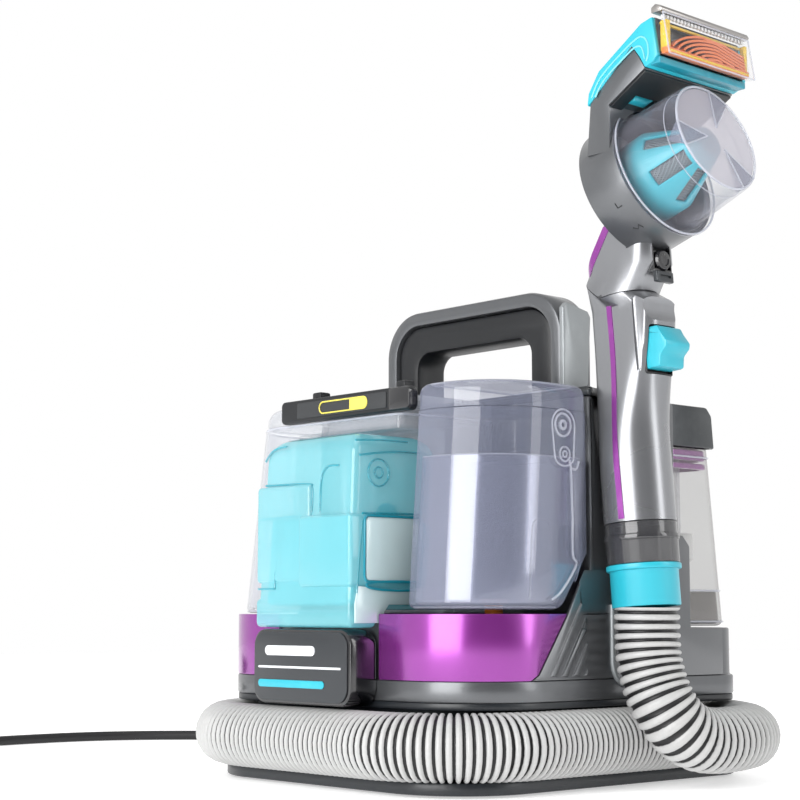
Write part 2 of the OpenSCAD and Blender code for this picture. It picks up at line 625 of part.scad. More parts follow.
// ---- mains lead ----
module cord_gland() color([0.08, 0.08, 0.08]) place() {
  translate([-82, body_rear, 56]) rotate([-90, 0, 0]) {
    cylinder(h = 3, r = 7);
    translate([0, 0, 3]) cylinder(h = 30, r1 = 6, r2 = 4.5);
  }
}
module cord() color([0.06, 0.06, 0.06]) place() sweep_tube(cord_route, cord_d / 2, 8, [0, 0, 1]);
module cord_coil() color([0.06, 0.06, 0.06]) place() translate([coil_at[0], coil_at[1], 0])
  rotate_extrude() translate([coil_in, 0]) square([coil_out - coil_in, coil_h]);
module plug() color([0.06, 0.06, 0.06]) place()
translate([coil_at[0], coil_at[1] + coil_mid_r, coil_h]) {
  translate([-24, -12, 0]) cube([34, 24, 17]);
  for (y = [-6.4, 6.4]) translate([10, y - 0.75, 5.5]) cube([17, 1.5, 6.4]);
}
module cord_hook() color([0.15, 0.15, 0.16]) place() translate([-body_half - 0.3, 20, 180])
  rotate([0, -90, 0]) {
    translate([0, 0, -8]) cylinder(h = 14, r = 4);
    translate([-3, -6, 4]) cube([30, 12, 3]);
    translate([22, -6, 4]) cube([5, 12, 8]);
  }

base_plate();
feet();
hose_channel();
body_shell();
purple_band_right();
purple_band_left();
badge_box();
badge_plate();
side_panel_right();
side_panel_left();
tower_shell();
top_cover();
handle_shell();
handle_grip();
suction_hose();
hose_inlet();
hose_cuff();
hose_connector();
wand_body();
wand_stripe();
trigger();
tool_neck();
neck_stripe();
release_button();
tool_shell();
tool_frame();
nozzle_window();
nozzle_lip();
brush_frame();
brush_fins();
tool_latch();
hair_cup();
cone_filter();
filter_mesh();
formula_pod();
pod_plug();
left_tank();
left_tank_lid();
latch_bar();
tank_latches();
right_tank();
right_tank_lid();
tank_valve();
recovery_tank();
recovery_gasket();
recovery_lid();
float();
float_guide();
motor_can();
impeller();
bearings();
pump();
power_button();
cord_gland();
cord();
cord_coil();
plug();
cord_hook();
screws();
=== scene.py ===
import json
import math

import bmesh
import bpy
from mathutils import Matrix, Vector


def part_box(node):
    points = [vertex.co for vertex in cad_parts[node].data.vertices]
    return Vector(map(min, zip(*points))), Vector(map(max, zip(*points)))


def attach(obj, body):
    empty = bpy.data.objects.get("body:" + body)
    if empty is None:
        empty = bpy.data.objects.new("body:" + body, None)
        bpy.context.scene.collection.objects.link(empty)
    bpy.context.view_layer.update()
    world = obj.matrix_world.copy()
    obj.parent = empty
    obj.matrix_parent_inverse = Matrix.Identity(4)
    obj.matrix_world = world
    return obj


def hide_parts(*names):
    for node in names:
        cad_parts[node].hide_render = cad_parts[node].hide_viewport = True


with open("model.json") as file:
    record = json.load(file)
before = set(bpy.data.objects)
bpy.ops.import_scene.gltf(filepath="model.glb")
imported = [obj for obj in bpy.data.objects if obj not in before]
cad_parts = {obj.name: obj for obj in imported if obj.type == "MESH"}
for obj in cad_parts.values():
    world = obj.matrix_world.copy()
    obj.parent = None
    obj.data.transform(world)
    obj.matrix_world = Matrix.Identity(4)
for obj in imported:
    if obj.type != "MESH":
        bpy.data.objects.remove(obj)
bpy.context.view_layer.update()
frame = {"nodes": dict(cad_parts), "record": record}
nodes = frame["nodes"]
mm = 0.001
baseLow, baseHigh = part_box("base_plate")
baseShift = Vector(((baseLow.x + baseHigh.x) / 2, (baseLow.y + baseHigh.y) / 2 + 1 * mm, 0))
view = bpy.context.scene.view_settings
view.view_transform = "Standard"
view.look = "None"
bpy.context.scene.cycles.transparent_max_bounces = 32


def at(x, y, z):  # a point counted from the middle of the base, in millimetres
    return baseShift + Vector((x, y, z)) * mm


# ---- camera ----
camera = dict(place=(774, -757, 95), azimuth=48.0, rise=6.86, lens=80, sensor=36)


def makeCamera():
    data = bpy.data.cameras.new("camera")
    data.lens, data.sensor_width = camera["lens"], camera["sensor"]
    data.clip_start, data.clip_end = 0.05, 20
    cam = bpy.data.objects.new("camera", data)
    bpy.context.scene.collection.objects.link(cam)
    cam.location = at(*camera["place"])
    cam.rotation_euler = (math.radians(90 + camera["rise"]), 0, math.radians(camera["azimuth"]))
    bpy.context.scene.camera = cam


makeCamera()


# ---- shader maths ----
class Wire:  # one output socket, which arithmetic turns into Math nodes
    def __init__(self, tree, socket):
        self.tree, self.socket = tree, socket

    def sum(self, kind, a, b):
        return put(self.tree, "ShaderNodeMath", {"operation": kind}, {0: a, 1: b})

    def __add__(self, other):
        return self.sum("ADD", self, other)

    def __mul__(self, other):
        return self.sum("MULTIPLY", self, other)

    def __sub__(self, other):
        return self.sum("SUBTRACT", self, other)

    def __rsub__(self, other):
        return self.sum("SUBTRACT", other, self)

    def __truediv__(self, other):
        return self.sum("DIVIDE", self, other)

    def __pow__(self, other):
        return self.sum("POWER", self, other)

    __radd__ = __add__
    __rmul__ = __mul__


def put(tree, kind, settings=None, values=None, out=0):
    node = tree.nodes.new(kind)
    for key, value in (settings or {}).items():
        setattr(node, key, value)
    for key, value in (values or {}).items():
        if isinstance(value, Wire):
            tree.links.new(value.socket, node.inputs[key])
        else:
            node.inputs[key].default_value = value
    return Wire(tree, node.outputs[out])


def step(tree, value, low, high):  # 0 below low, 1 above high, smooth between
    return put(tree, "ShaderNodeMapRange", {"interpolation_type": "SMOOTHSTEP"},
               {"Value": value, "From Min": low, "From Max": high})


def place(tree, scale=(1, 1, 1), turn=(0, 0, 0)):
    coords = put(tree, "ShaderNodeTexCoord", out="Object")
    return put(tree, "ShaderNodeMapping", {}, {"Vector": coords, "Scale": scale, "Rotation": turn})


def noise(tree, scale, detail=3, rough=0.5, where=None):
    return put(tree, "ShaderNodeTexNoise", {},
               {"Vector": where or place(tree), "Scale": scale, "Detail": detail, "Roughness": rough})


def blendColour(tree, amount, a, b):
    node = tree.nodes.new("ShaderNodeMix")
    node.data_type = "RGBA"
    for index, value in ((0, amount), (6, a), (7, b)):
        if isinstance(value, Wire):
            tree.links.new(value.socket, node.inputs[index])
        else:
            node.inputs[index].default_value = value if index == 0 else (*value[:3], 1)
    return Wire(tree, node.outputs[2])


def bumpOf(tree, height, strength, distance):
    return put(tree, "ShaderNodeBump", {}, {"Height": height, "Strength": strength, "Distance": distance})


materials = {}


def newMaterial(name):
    material = bpy.data.materials.new(name)
    material.use_nodes = True
    tree = material.node_tree
    tree.nodes.clear()
    materials[name] = material
    return material, tree


def close(tree, values):
    surface = put(tree, "ShaderNodeBsdfPrincipled", {}, values)
    out = tree.nodes.new("ShaderNodeOutputMaterial")
    tree.links.new(surface.socket, out.inputs["Surface"])
    return surface


def edgeWearAndHighlight(tree, amount=1.0):  # lighter in patches on sharp edges: partly edge wear, partly a painted edge highlight
    edge = put(tree, "ShaderNodeNewGeometry", out="Pointiness")
    patchy = step(tree, noise(tree, 90, 4), 0.42, 0.7)
    return step(tree, edge, 0.52, 0.62) * patchy * amount


def shade(colour, factor, lift=0.0):  # a lighter or darker tone of a colour
    return [min(1, c * factor + lift) for c in colour]


def moulded(name, colour, rough=0.42, grain=0.25, metal=0.0, wearAndHighlight=0.25, coat=0.0, spread=0.07):
    material, tree = newMaterial(name)
    cloud = noise(tree, 16, 4)
    wornAndLit = edgeWearAndHighlight(tree, wearAndHighlight)
    base = blendColour(tree, cloud, shade(colour, 1 - spread), shade(colour, 1 + spread))
    # sharp edges made lighter: edge wear and a painted edge highlight
    base = blendColour(tree, wornAndLit, base, shade(colour, 1.5, 0.05))
    fine = noise(tree, 2400, 2) + noise(tree, 700, 3) * 0.5
    close(tree, {"Base Color": base, "Roughness": rough + (cloud - 0.5) * 0.14 + wornAndLit * 0.1,
                 "Metallic": metal, "Coat Weight": coat, "Coat Roughness": 0.12,
                 "Normal": bumpOf(tree, fine, grain, 0.00012)})
    return material


def metallicPaint(name, colour, rough=0.3, metal=0.75, coat=0.5, flake=0.16):
    material, tree = newMaterial(name)
    cloud = noise(tree, 10, 3)
    flakes = noise(tree, 5200, 1)
    base = blendColour(tree, flakes, shade(colour, 1 - flake), shade(colour, 1 + flake))
    wornAndLit = edgeWearAndHighlight(tree, 0.35)
    # sharp edges made lighter: edge wear and a painted edge highlight
    base = blendColour(tree, wornAndLit, base, shade(colour, 1.3, 0.08))
    close(tree, {"Base Color": base, "Roughness": rough + (cloud - 0.5) * 0.1 + wornAndLit * 0.08,
                 "Metallic": metal, "Coat Weight": coat, "Coat Roughness": 0.16,
                 "Normal": bumpOf(tree, flakes, 0.12, 0.00008)})
    return material


def clearPlastic(name, colour, face, edge, rough=0.08, power=2.0, metal=0.0, spread=0.04, grain=0.05):
    material, tree = newMaterial(name)
    facing = put(tree, "ShaderNodeLayerWeight", {}, {"Blend": 0.5}, out="Facing")
    cloud = noise(tree, 20, 4)
    scuffs = step(tree, noise(tree, 180, 6, 0.7), 0.6, 0.85) * (grain * 20)
    base = blendColour(tree, cloud, shade(colour, 1 - spread), shade(colour, 1 + spread))
    close(tree, {"Base Color": base, "Roughness": rough + scuffs * 0.25 + cloud * 0.03,
                 "Metallic": metal, "Alpha": face + (facing ** power) * (edge - face) + scuffs * 0.03,
                 "Coat Weight": 0.6, "Coat Roughness": 0.05, "Specular IOR Level": 0.9,
                 "Normal": bumpOf(tree, cloud, grain, 0.0004)})
    return material


# ridge is the hose's colour; groove is a near-black painted shade for the grooves
def hosePlastic(name, ridge, groove):
    material, tree = newMaterial(name)
    deep = put(tree, "ShaderNodeAttribute", {"attribute_name": "groove"}, out="Fac")
    streaks = noise(tree, 420, 5, 0.65)
    base = blendColour(tree, streaks, shade(ridge, 0.86), shade(ridge, 1.1))
    # painted shade: the groove colour is blended in where the hose dips between ribs, broken up by the
    # streaks
    grooveShade = step(tree, deep + (streaks - 0.5) * 0.3, 0.42, 0.72)
    base = blendColour(tree, grooveShade, base, groove)
    close(tree, {"Base Color": base, "Roughness": 0.36 + streaks * 0.16 + grooveShade * 0.12,
                 "Normal": bumpOf(tree, noise(tree, 1500, 3), 0.2, 0.0001), "Coat Weight": 0.2})
    return material


def brushed(name, colour, stretch=(1, 40, 40), rough=0.32):
    material, tree = newMaterial(name)
    lines = noise(tree, 120, 4, 0.6, place(tree, stretch))
    base = blendColour(tree, lines, shade(colour, 0.85), shade(colour, 1.12))
    close(tree, {"Base Color": base, "Metallic": 0.9, "Roughness": rough + (lines - 0.5) * 0.2,
                 "Normal": bumpOf(tree, lines, 0.25, 0.0001)})
    return material


def woven(name, wire, hole, pitch, turn=(0, 0, 0), alpha=0.35):
    material, tree = newMaterial(name)
    where = put(tree, "ShaderNodeSeparateXYZ", {}, {0: place(tree, (1 / pitch,) * 3, turn)}, out="Y")
    over = put(tree, "ShaderNodeSeparateXYZ", {}, {0: place(tree, (1 / pitch,) * 3, turn)}, out="Z")
    ups = step(tree, where.sum("SINE", where * math.tau, 0), 0.0, 0.8)
    downs = step(tree, over.sum("SINE", over * math.tau, 0), 0.0, 0.8)
    thread = ups.sum("MAXIMUM", ups, downs)
    base = blendColour(tree, thread, hole, wire)
    close(tree, {"Base Color": base, "Metallic": 0.3, "Roughness": 0.4 + noise(tree, 300) * 0.2,
                 "Alpha": alpha + thread * (1 - alpha), "Normal": bumpOf(tree, thread, 0.4, 0.0002)})
    return material


moulded("darkBase", (0.012, 0.015, 0.019), 0.36, 0.3, coat=0.1)
moulded("rubber", (0.02, 0.02, 0.02), 0.7, 0.5, wearAndHighlight=0.1)
metallicPaint("greyMetal", (0.125, 0.13, 0.138), 0.32, 0.65)
metallicPaint("darkMetal", (0.035, 0.040, 0.044), 0.33, 0.5, 0.3)
metallicPaint("silverGrey", (0.27, 0.275, 0.29), 0.28, 0.7)
metallicPaint("cheekGrey", (0.30, 0.32, 0.33), 0.36, 0.4, 0.3)
metallicPaint("purple", (0.30, 0.04, 0.33), 0.22, 0.65, 0.8)
moulded("blackGloss", (0.008, 0.008, 0.01), 0.09, 0.05, coat=0.8, wearAndHighlight=0.05)
moulded("blackSoft", (0.007, 0.008, 0.010), 0.42, 0.45, wearAndHighlight=0.12)
moulded("satinPlate", (0.035, 0.039, 0.044), 0.3, 0.2, metal=0.3, coat=0.2)
moulded("cyan", (0.022, 0.43, 0.54), 0.34, 0.2, coat=0.15)
moulded("cyanPale", (0.20, 0.60, 0.68), 0.3, 0.1, coat=0.15)
moulded("tealDark", (0.008, 0.26, 0.35), 0.34, 0.2, coat=0.2)
clearPlastic("podCyan", (0.20, 0.64, 0.72), 0.5, 0.94, 0.12)
clearPlastic("podLiquid", (0.12, 0.60, 0.70), 0.6, 0.9, 0.14)
clearPlastic("podPale", (0.74, 0.90, 0.91), 0.72, 0.92, 0.12)
clearPlastic("podLine", (0.02, 0.40, 0.50), 0.55, 0.9, 0.12)
clearPlastic("clear", (0.62, 0.64, 0.70), 0.16, 0.85, 0.06)
clearPlastic("cupFace", (0.56, 0.54, 0.62), 0.42, 0.8, 0.08)
clearPlastic("cupClear", (0.42, 0.42, 0.50), 0.07, 0.62, 0.05, 2.6)
clearPlastic("windowClear", (0.5, 0.5, 0.54), 0.03, 0.4, 0.05, 2.8)
# painted highlight lines: a lighter, more opaque clear plastic for beads along edges, rims and ridges of
# clear parts
clearPlastic("clearHighlightLine", (0.66, 0.68, 0.77), 0.42, 0.9, 0.08)
clearPlastic("footBrown", (0.07, 0.055, 0.048), 0.85, 0.97, 0.1, grain=0.0)
clearPlastic("clearBlue", (0.26, 0.28, 0.38), 0.36, 0.85, 0.07, grain=0.0)
clearPlastic("water", (0.34, 0.36, 0.47), 0.85, 0.95, 0.16, metal=0.6, grain=0.0)
clearPlastic("smoke", (0.05, 0.05, 0.055), 0.62, 0.95, 0.1)
clearPlastic("smokeTank", (0.34, 0.33, 0.32), 0.25, 0.85, 0.08, grain=0.0)
moulded("orange", (0.80, 0.22, 0.02), 0.4, 0.2)
clearPlastic("finOrange", (0.85, 0.17, 0.002), 0.94, 0.99, 0.35)
clearPlastic("yellow", (0.92, 0.62, 0.02), 0.75, 0.98, 0.2)
moulded("white", (0.80, 0.80, 0.80), 0.4, 0.1)
# the second colour is the painted shade in the grooves
hosePlastic("hosePlastic", (0.50, 0.50, 0.495), (0.004, 0.004, 0.005))
brushed("silver", (0.42, 0.40, 0.385))
brushed("motorSteel", (0.50, 0.50, 0.52), (40, 40, 1))
woven("filterCloth", (0.20, 0.24, 0.26), (0.05, 0.07, 0.08), 0.0011)
moulded("cordRubber", (0.010, 0.010, 0.011), 0.5, 0.3, wearAndHighlight=0.05)
moulded("label", (0.03, 0.032, 0.035), 0.5, 0.8, wearAndHighlight=0.0)
moulded("labelYellow", (0.85, 0.72, 0.12), 0.45, 0.1, wearAndHighlight=0.0)
moulded("paleMark", (0.75, 0.77, 0.8), 0.4, 0.1, wearAndHighlight=0.0)
print("materials made:", len(materials))

bodyOf = {n: b for b, names in frame["record"]["behaviour"]["bodies"].items() for n in names}


# ---- pieces ----
def asPiece(name, mesh, material, node, stands=True, smooth=35):
    mesh.name = name
    mesh.materials.clear()
    mesh.materials.append(materials[material])
    mesh.shade_smooth()
    mesh.set_sharp_from_angle(angle=math.radians(smooth))
    piece = bpy.data.objects.new(name, mesh)
    bpy.context.scene.collection.objects.link(piece)
    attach(piece, bodyOf[node])
    if stands:
        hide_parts(node)
    return piece


def meshOf(verts, faces):
    mesh = bpy.data.meshes.new("mesh")
    mesh.from_pydata([tuple(v) for v in verts], [], faces)
    return mesh


def cleaned(mesh, weld=1e-6):  # with close points welded and normals facing out
    bm = bmesh.new()
    bm.from_mesh(mesh)
    bmesh.ops.remove_doubles(bm, verts=bm.verts, dist=weld)
    bmesh.ops.recalc_face_normals(bm, faces=bm.faces)
    bm.to_mesh(mesh)
    bm.free()
    return mesh


def withModifiers(mesh, *settings):  # a plain mesh, with each modifier applied in turn
    holder = bpy.data.objects.new("holder", mesh)
    bpy.context.scene.collection.objects.link(holder)
    for kind, values in settings:
        modifier = holder.modifiers.new(kind.lower(), kind)
        for key, value in values.items():
            setattr(modifier, key, value)
    graph = bpy.context.evaluated_depsgraph_get()
    result = bpy.data.meshes.new_from_object(holder.evaluated_get(graph))
    bpy.data.objects.remove(holder)
    return result


def softEdges(mesh, width, segments=2, angle=33):
    bevel = dict(width=width * mm, segments=segments, limit_method="ANGLE", angle_limit=math.radians(angle),
                 use_clamp_overlap=width < 0.5)
    return withModifiers(mesh, ("BEVEL", bevel))


def softCopy(node, width, material, segments=2, angle=33, smooth=35):  # the CAD shape with rounded edges
    mesh = nodes[node].data.copy()
    for attribute in [a for a in mesh.attributes if a.name == "custom_normal"]:
        mesh.attributes.remove(attribute)
    bm = bmesh.new()
    bm.from_mesh(mesh)
    bmesh.ops.remove_doubles(bm, verts=bm.verts, dist=2e-6)
    bmesh.ops.dissolve_limit(bm, angle_limit=math.radians(0.6), verts=bm.verts, edges=bm.edges)
    bm.to_mesh(mesh)
    bm.free()
    return asPiece(node + "_soft", softEdges(mesh, width, segments, angle), material, node, smooth=smooth)


def roundRect(x0, x1, y0, y1, radii, steps=8):  # corners: front right, rear right, rear left, front left
    points = []
    corners = ((x1, y0, -90, -1, 1), (x1, y1, 0, -1, -1), (x0, y1, 90, 1, -1), (x0, y0, 180, 1, 1))
    for (x, y, start, sx, sy), radius in zip(corners, radii):
        for k in range(steps + 1):
            turn = math.radians(start + 90 * k / steps)
            points.append((x + radius * (sx + math.cos(turn)), y + radius * (sy + math.sin(turn))))
    return points


def stack(rings):  # closed solid through rings of the same number of points
    n = len(rings[0])
    verts = [v for ring in rings for v in ring]
    faces = [(i * n + k, i * n + (k + 1) % n, (i + 1) * n + (k + 1) % n, (i + 1) * n + k)
             for i in range(len(rings) - 1) for k in range(n)]
    faces += [tuple(range(n - 1, -1, -1)), tuple((len(rings) - 1) * n + k for k in range(n))]
    return cleaned(meshOf(verts, faces))


def rounded(shape, low, high, lowR, highR, levels=(), steps=5):  # shape(inset, z) gives a ring in mm
    marks = []
    for k in range(steps + 1):
        turn = math.radians(90 * k / steps)
        marks.append((low + lowR * (1 - math.cos(turn)), lowR * (1 - math.sin(turn))))
    marks += [(z, 0) for z in levels]
    for k in range(steps + 1):
        turn = math.radians(90 * k / steps)
        marks.append((high - highR * (1 - math.sin(turn)), highR * (1 - math.cos(turn))))
    return stack([[at(x, y, z) for x, y in shape(inset, z)] for z, inset in marks])


def tube(points, radius, sides=10, closed=False):  # a round bead through points
    count = len(points)
    up = Vector((0.31, 0.17, 0.93))
    verts, faces = [], []
    for i, p in enumerate(points):
        a = points[(i - 1) % count] if closed else points[max(i - 1, 0)]
        b = points[(i + 1) % count] if closed else points[min(i + 1, count - 1)]
        along = (b - a).normalized()
        side = along.cross(up).normalized()
        other = along.cross(side)
        verts += [p + (side * math.cos(t) + other * math.sin(t)) * radius * mm
                  for t in (math.tau * k / sides for k in range(sides))]
    for i in range(count if closed else count - 1):
        j = (i + 1) % count
        faces += [(i * sides + k, i * sides + (k + 1) % sides, j * sides + (k + 1) % sides, j * sides + k)
                  for k in range(sides)]
    if not closed:
        faces += [tuple(range(sides - 1, -1, -1)), tuple((count - 1) * sides + k for k in range(sides))]
    return cleaned(meshOf(verts, faces))


def joined(meshes):
    bm = bmesh.new()
    for mesh in meshes:
        bm.from_mesh(mesh)
    result = bpy.data.meshes.new("mesh")
    bm.to_mesh(result)
    bm.free()
    return result


def smoothPath(points, steps):  # a smooth curve through points given in millimetres
    result = []
    for i in range(len(points) - 1):
        a, b, c, d = (Vector(points[max(0, min(j, len(points) - 1))]) for j in (i - 1, i, i + 1, i + 2))
        for k in range(steps):
            t = k / steps
            result.append(((b * 2) + (c - a) * t + (a * 2 - b * 5 + c * 4 - d) * t * t
                           + (b * 3 - a - c * 3 + d) * t ** 3) * 0.5)
    return result + [Vector(points[-1])]


# ---- mains lead ----
lead = dict(length=4.57, width=7, coil=(-446, -148), turns=4, layers=4, pointsPerTurn=24, endAngle=122,
            endRadius=49)
leadRoute = [
    (-82, 148, 56), (-82, 157, 55), (-82.3, 167, 50.5), (-83, 176, 42), (-84.5, 183.5, 31),
    (-87, 190.5, 19.5), (-92, 198, 10), (-101, 205, 4.8), (-114, 209, 3.5), (-132, 208.5, 3.5),
    (-156, 201, 3.5), (-184, 186, 3.5), (-214, 166, 3.5), (-244, 143, 3.5), (-274, 118, 3.5),
    (-304, 91, 3.5), (-333, 63, 3.5), (-358, 36, 3.5), (-377, 10, 3.5), (-389, -17, 3.5),
    (-394.5, -45, 3.5), (-395, -73, 3.5), (-393.5, -100, 3.5), (-392.5, -124, 3.5), (-394, -142, 3.5)]


def ease(t):
    t = max(0.0, min(1.0, t))
    return t * t * (3 - 2 * t)


def coilPoints():  # layers of side by side turns, which step across and up in one third of each turn
    cx, cy = lead["coil"]
    width, across = lead["width"], lead["turns"]
    inner = 6 * width - (across - 1) * width / 2
    turns = across * lead["layers"] - 1.62
    points = []
    for k in range(int(turns * lead["pointsPerTurn"]) + 1):
        t = k / lead["pointsPerTurn"]
        turn, part = int(t), t % 1
        layer, row = turn // across, turn % across
        last = row == across - 1
        slot = row + (0 if last else ease((part - 0.55) / 0.45))
        if layer % 2 == 0:
            slot = across - 1 - slot
        climb = ease((part - 0.55) / 0.4) if last and layer < lead["layers"] - 1 else 0
        radius = inner + slot * width
        angle = math.radians(-10 - 360 * t)
        points.append((cx + radius * math.cos(angle), cy + radius * math.sin(angle),
                       width * (layer + climb + 0.5)))
    return points


def makeLead():
    cx, cy = lead["coil"]
    plugLow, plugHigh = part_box("plug")
    top = (plugLow.z + plugHigh.z) / 2 / mm
    turns = coilPoints()
    tail = []
    last = Vector(turns[-1])
    startAngle = math.degrees(math.atan2(last.y - cy, last.x - cx))
    startRadius = math.hypot(last.x - cx, last.y - cy)
    endAngle = lead["endAngle"] - (360 if startAngle < lead["endAngle"] else 0)
    for k in range(1, 9):  # up from the top turn and into the plug's end
        t = k / 8
        angle = math.radians(startAngle + (endAngle - startAngle) * t)
        radius = startRadius + (lead["endRadius"] - startRadius) * ease(t)
        height = last.z + (top - last.z) * ease(t)
        tail.append((cx + radius * math.cos(angle), cy + radius * math.sin(angle), height))
    route = smoothPath(leadRoute + turns + tail + [(cx - 23, cy + 42, top)], 3)
    curve = bpy.data.curves.new("mains_lead", "CURVE")
    curve.dimensions = "3D"
    curve.bevel_depth = lead["width"] / 2 * mm
    curve.bevel_resolution = 3
    curve.use_fill_caps = True
    spline = curve.splines.new("POLY")
    spline.points.add(len(route) - 1)
    for point, place3 in zip(spline.points, route):
        point.co = (*at(*place3), 1)
    spline.use_smooth = True
    curve.materials.append(materials["cordRubber"])
    piece = bpy.data.objects.new("mains_lead", curve)
    bpy.context.scene.collection.objects.link(piece)
    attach(piece, "root")
    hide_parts("cord", "cord_coil")
    gland = softCopy("cord_gland", 0.5, "cordRubber")
    plugPiece = softCopy("plug", 1.6, "cordRubber", 3)
    length = sum((at(*b) - at(*a)).length for a, b in zip(route, route[1:]))
    print("mains lead is", round(length, 3), "m long")


makeLead()


# ---- suction hose, made by Geometry Nodes ----
hose = dict(radius=18.0, core=16.0, pitch=5.2, ringPitch=4.1, hangLength=0.15, sides=26, stepsPerRib=8,
            stretch=13)
hoseHang = [
    (138, -3, 98.5), (138, -3, 84), (139.2, -3.2, 70), (142.5, -2.5, 57), (147, -0.5, 45.5), (151, 6, 35),
    (153, 18, 28.2), (153.5, 34, 26), (152, 50, 26), (147.8, 66.5, 26), (139.5, 83, 26), (125, 97.5, 26),
    (108, 110, 26), (90, 120, 26), (75, 124, 26)]
hoseRing = dict(half=115, front=-129, rear=124, frontR=60, rearR=40, height=26)


def alongLine(start, end, step):  # evenly spaced points between two ends, without the ends
    count = max(1, round((Vector(end) - Vector(start)).length / step))
    return [Vector(start).lerp(Vector(end), k / count) for k in range(1, count)]


def evenly(points, step):  # the same line, with no stretch much longer than step
    result = [Vector(points[0])]
    for start, end in zip(points, points[1:]):
        result += alongLine(start, end, step) + [Vector(end)]
    return result


def bend(cx, cy, radius, start, count):  # a quarter turn of the lying hose, from an angle in degrees
    turns = (math.radians(start + 90 * k / count) for k in range(count + 1))
    return [(cx + radius * math.cos(t), cy + radius * math.sin(t), hoseRing["height"]) for t in turns]


def hoseRoute():
    ring, z = hoseRing, hoseRing["height"]
    left, right, rearR, frontR = -ring["half"], ring["half"], ring["rearR"], ring["frontR"]
    lying = (bend(left + rearR, ring["rear"] - rearR, rearR, 90, 6)
             + bend(left + frontR, ring["front"] + frontR, frontR, 180, 8)
             + bend(right - frontR, ring["front"] + frontR, frontR, 270, 8)
             + [(right, 36, z), (112, 52, z), (104.5, 66, z), (94.5, 74.8, z)])
    return hoseHang[:-1] + evenly([hoseHang[-1]] + lying, hose["stretch"])


def geometryTree(name, inputs):
    tree = bpy.data.node_groups.new(name, "GeometryNodeTree")
    tree.interface.new_socket("Geometry", in_out="INPUT", socket_type="NodeSocketGeometry")
    for label, kind in inputs:
        tree.interface.new_socket(label, in_out="INPUT", socket_type=kind)
    tree.interface.new_socket("Geometry", in_out="OUTPUT", socket_type="NodeSocketGeometry")
    entry, leave = tree.nodes.new("NodeGroupInput"), tree.nodes.new("NodeGroupOutput")
    return tree, {socket.name: Wire(tree, socket) for socket in entry.outputs if socket.name}, leave


def runTree(tree, base, values):  # the tree's result on base, as a plain mesh
    modifier = base.modifiers.new("nodes", "NODES")
    modifier.node_group = tree
    for item in tree.interface.items_tree:
        if item.in_out == "INPUT" and item.name in values:
            modifier[item.identifier] = values[item.name]
    graph = bpy.context.evaluated_depsgraph_get()
    mesh = bpy.data.meshes.new_from_object(base.evaluated_get(graph))
    base.modifiers.remove(modifier)
    bpy.data.objects.remove(base)
    return mesh


def pathObject(name, points):
    mesh = bpy.data.meshes.new(name)
    mesh.from_pydata([tuple(at(*p)) for p in points], [(i, i + 1) for i in range(len(points) - 1)], [])
    base = bpy.data.objects.new(name, mesh)
    bpy.context.scene.collection.objects.link(base)
    return base


def ribbedTree():
    tree, given, leave = geometryTree("ribbed_hose", [
        ("Outer radius", "NodeSocketFloat"), ("Core share", "NodeSocketFloat"), ("Pitch", "NodeSocketFloat"),
        ("Ring pitch", "NodeSocketFloat"), ("Hang length", "NodeSocketFloat"), ("Step", "NodeSocketFloat"),
        ("Sides", "NodeSocketInt"), ("Material", "NodeSocketMaterial")])
    curve = put(tree, "GeometryNodeMeshToCurve", {}, {"Mesh": given["Geometry"]})
    curve = put(tree, "GeometryNodeResampleCurve", {"mode": "LENGTH"},
                {"Curve": curve, "Length": given["Step"]})
    run = put(tree, "GeometryNodeSplineParameter", out="Length")
    hung = run.sum("MINIMUM", run, given["Hang length"])
    lying = run.sum("MAXIMUM", run - given["Hang length"], 0.0)
    phase = hung / given["Pitch"] + lying / given["Ring pitch"]
    wave = phase.sum("FRACT", phase, 0.0)
    valley = wave.sum("ABSOLUTE", wave - 0.5, 0.0) * 2  # 0 in the middle of a groove, 1 on a rib
    rise = put(tree, "ShaderNodeMapRange", {"interpolation_type": "SMOOTHSTEP"},
               {"Value": valley, "From Min": 0.18, "From Max": 0.62})
    crown = put(tree, "ShaderNodeMapRange", {"interpolation_type": "SMOOTHSTEP"},
                {"Value": valley, "From Min": 0.4, "From Max": 1.0})
    share = given["Core share"] + (1.0 - given["Core share"]) * (rise * 0.86 + crown * 0.14)
    curve = put(tree, "GeometryNodeStoreNamedAttribute", {"data_type": "FLOAT", "domain": "POINT"},
                {"Geometry": curve, "Name": "groove", "Value": 1.0 - rise})
    circle = put(tree, "GeometryNodeCurvePrimitiveCircle", {},
                 {"Resolution": given["Sides"], "Radius": given["Outer radius"]})
    sweep = tree.nodes.new("GeometryNodeCurveToMesh")
    if "Scale" in sweep.inputs:
        tree.links.new(share.socket, sweep.inputs["Scale"])
    else:
        curve = put(tree, "GeometryNodeSetCurveRadius", {}, {"Curve": curve, "Radius": share})
    tree.links.new(curve.socket, sweep.inputs["Curve"])
    tree.links.new(circle.socket, sweep.inputs["Profile Curve"])
    sweep.inputs["Fill Caps"].default_value = True
    result = put(tree, "GeometryNodeSetMaterial", {},
                 {"Geometry": Wire(tree, sweep.outputs[0]), "Material": given["Material"]})
    result = put(tree, "GeometryNodeRealizeInstances", {}, {"Geometry": result})
    tree.links.new(result.socket, leave.inputs[0])
    return tree


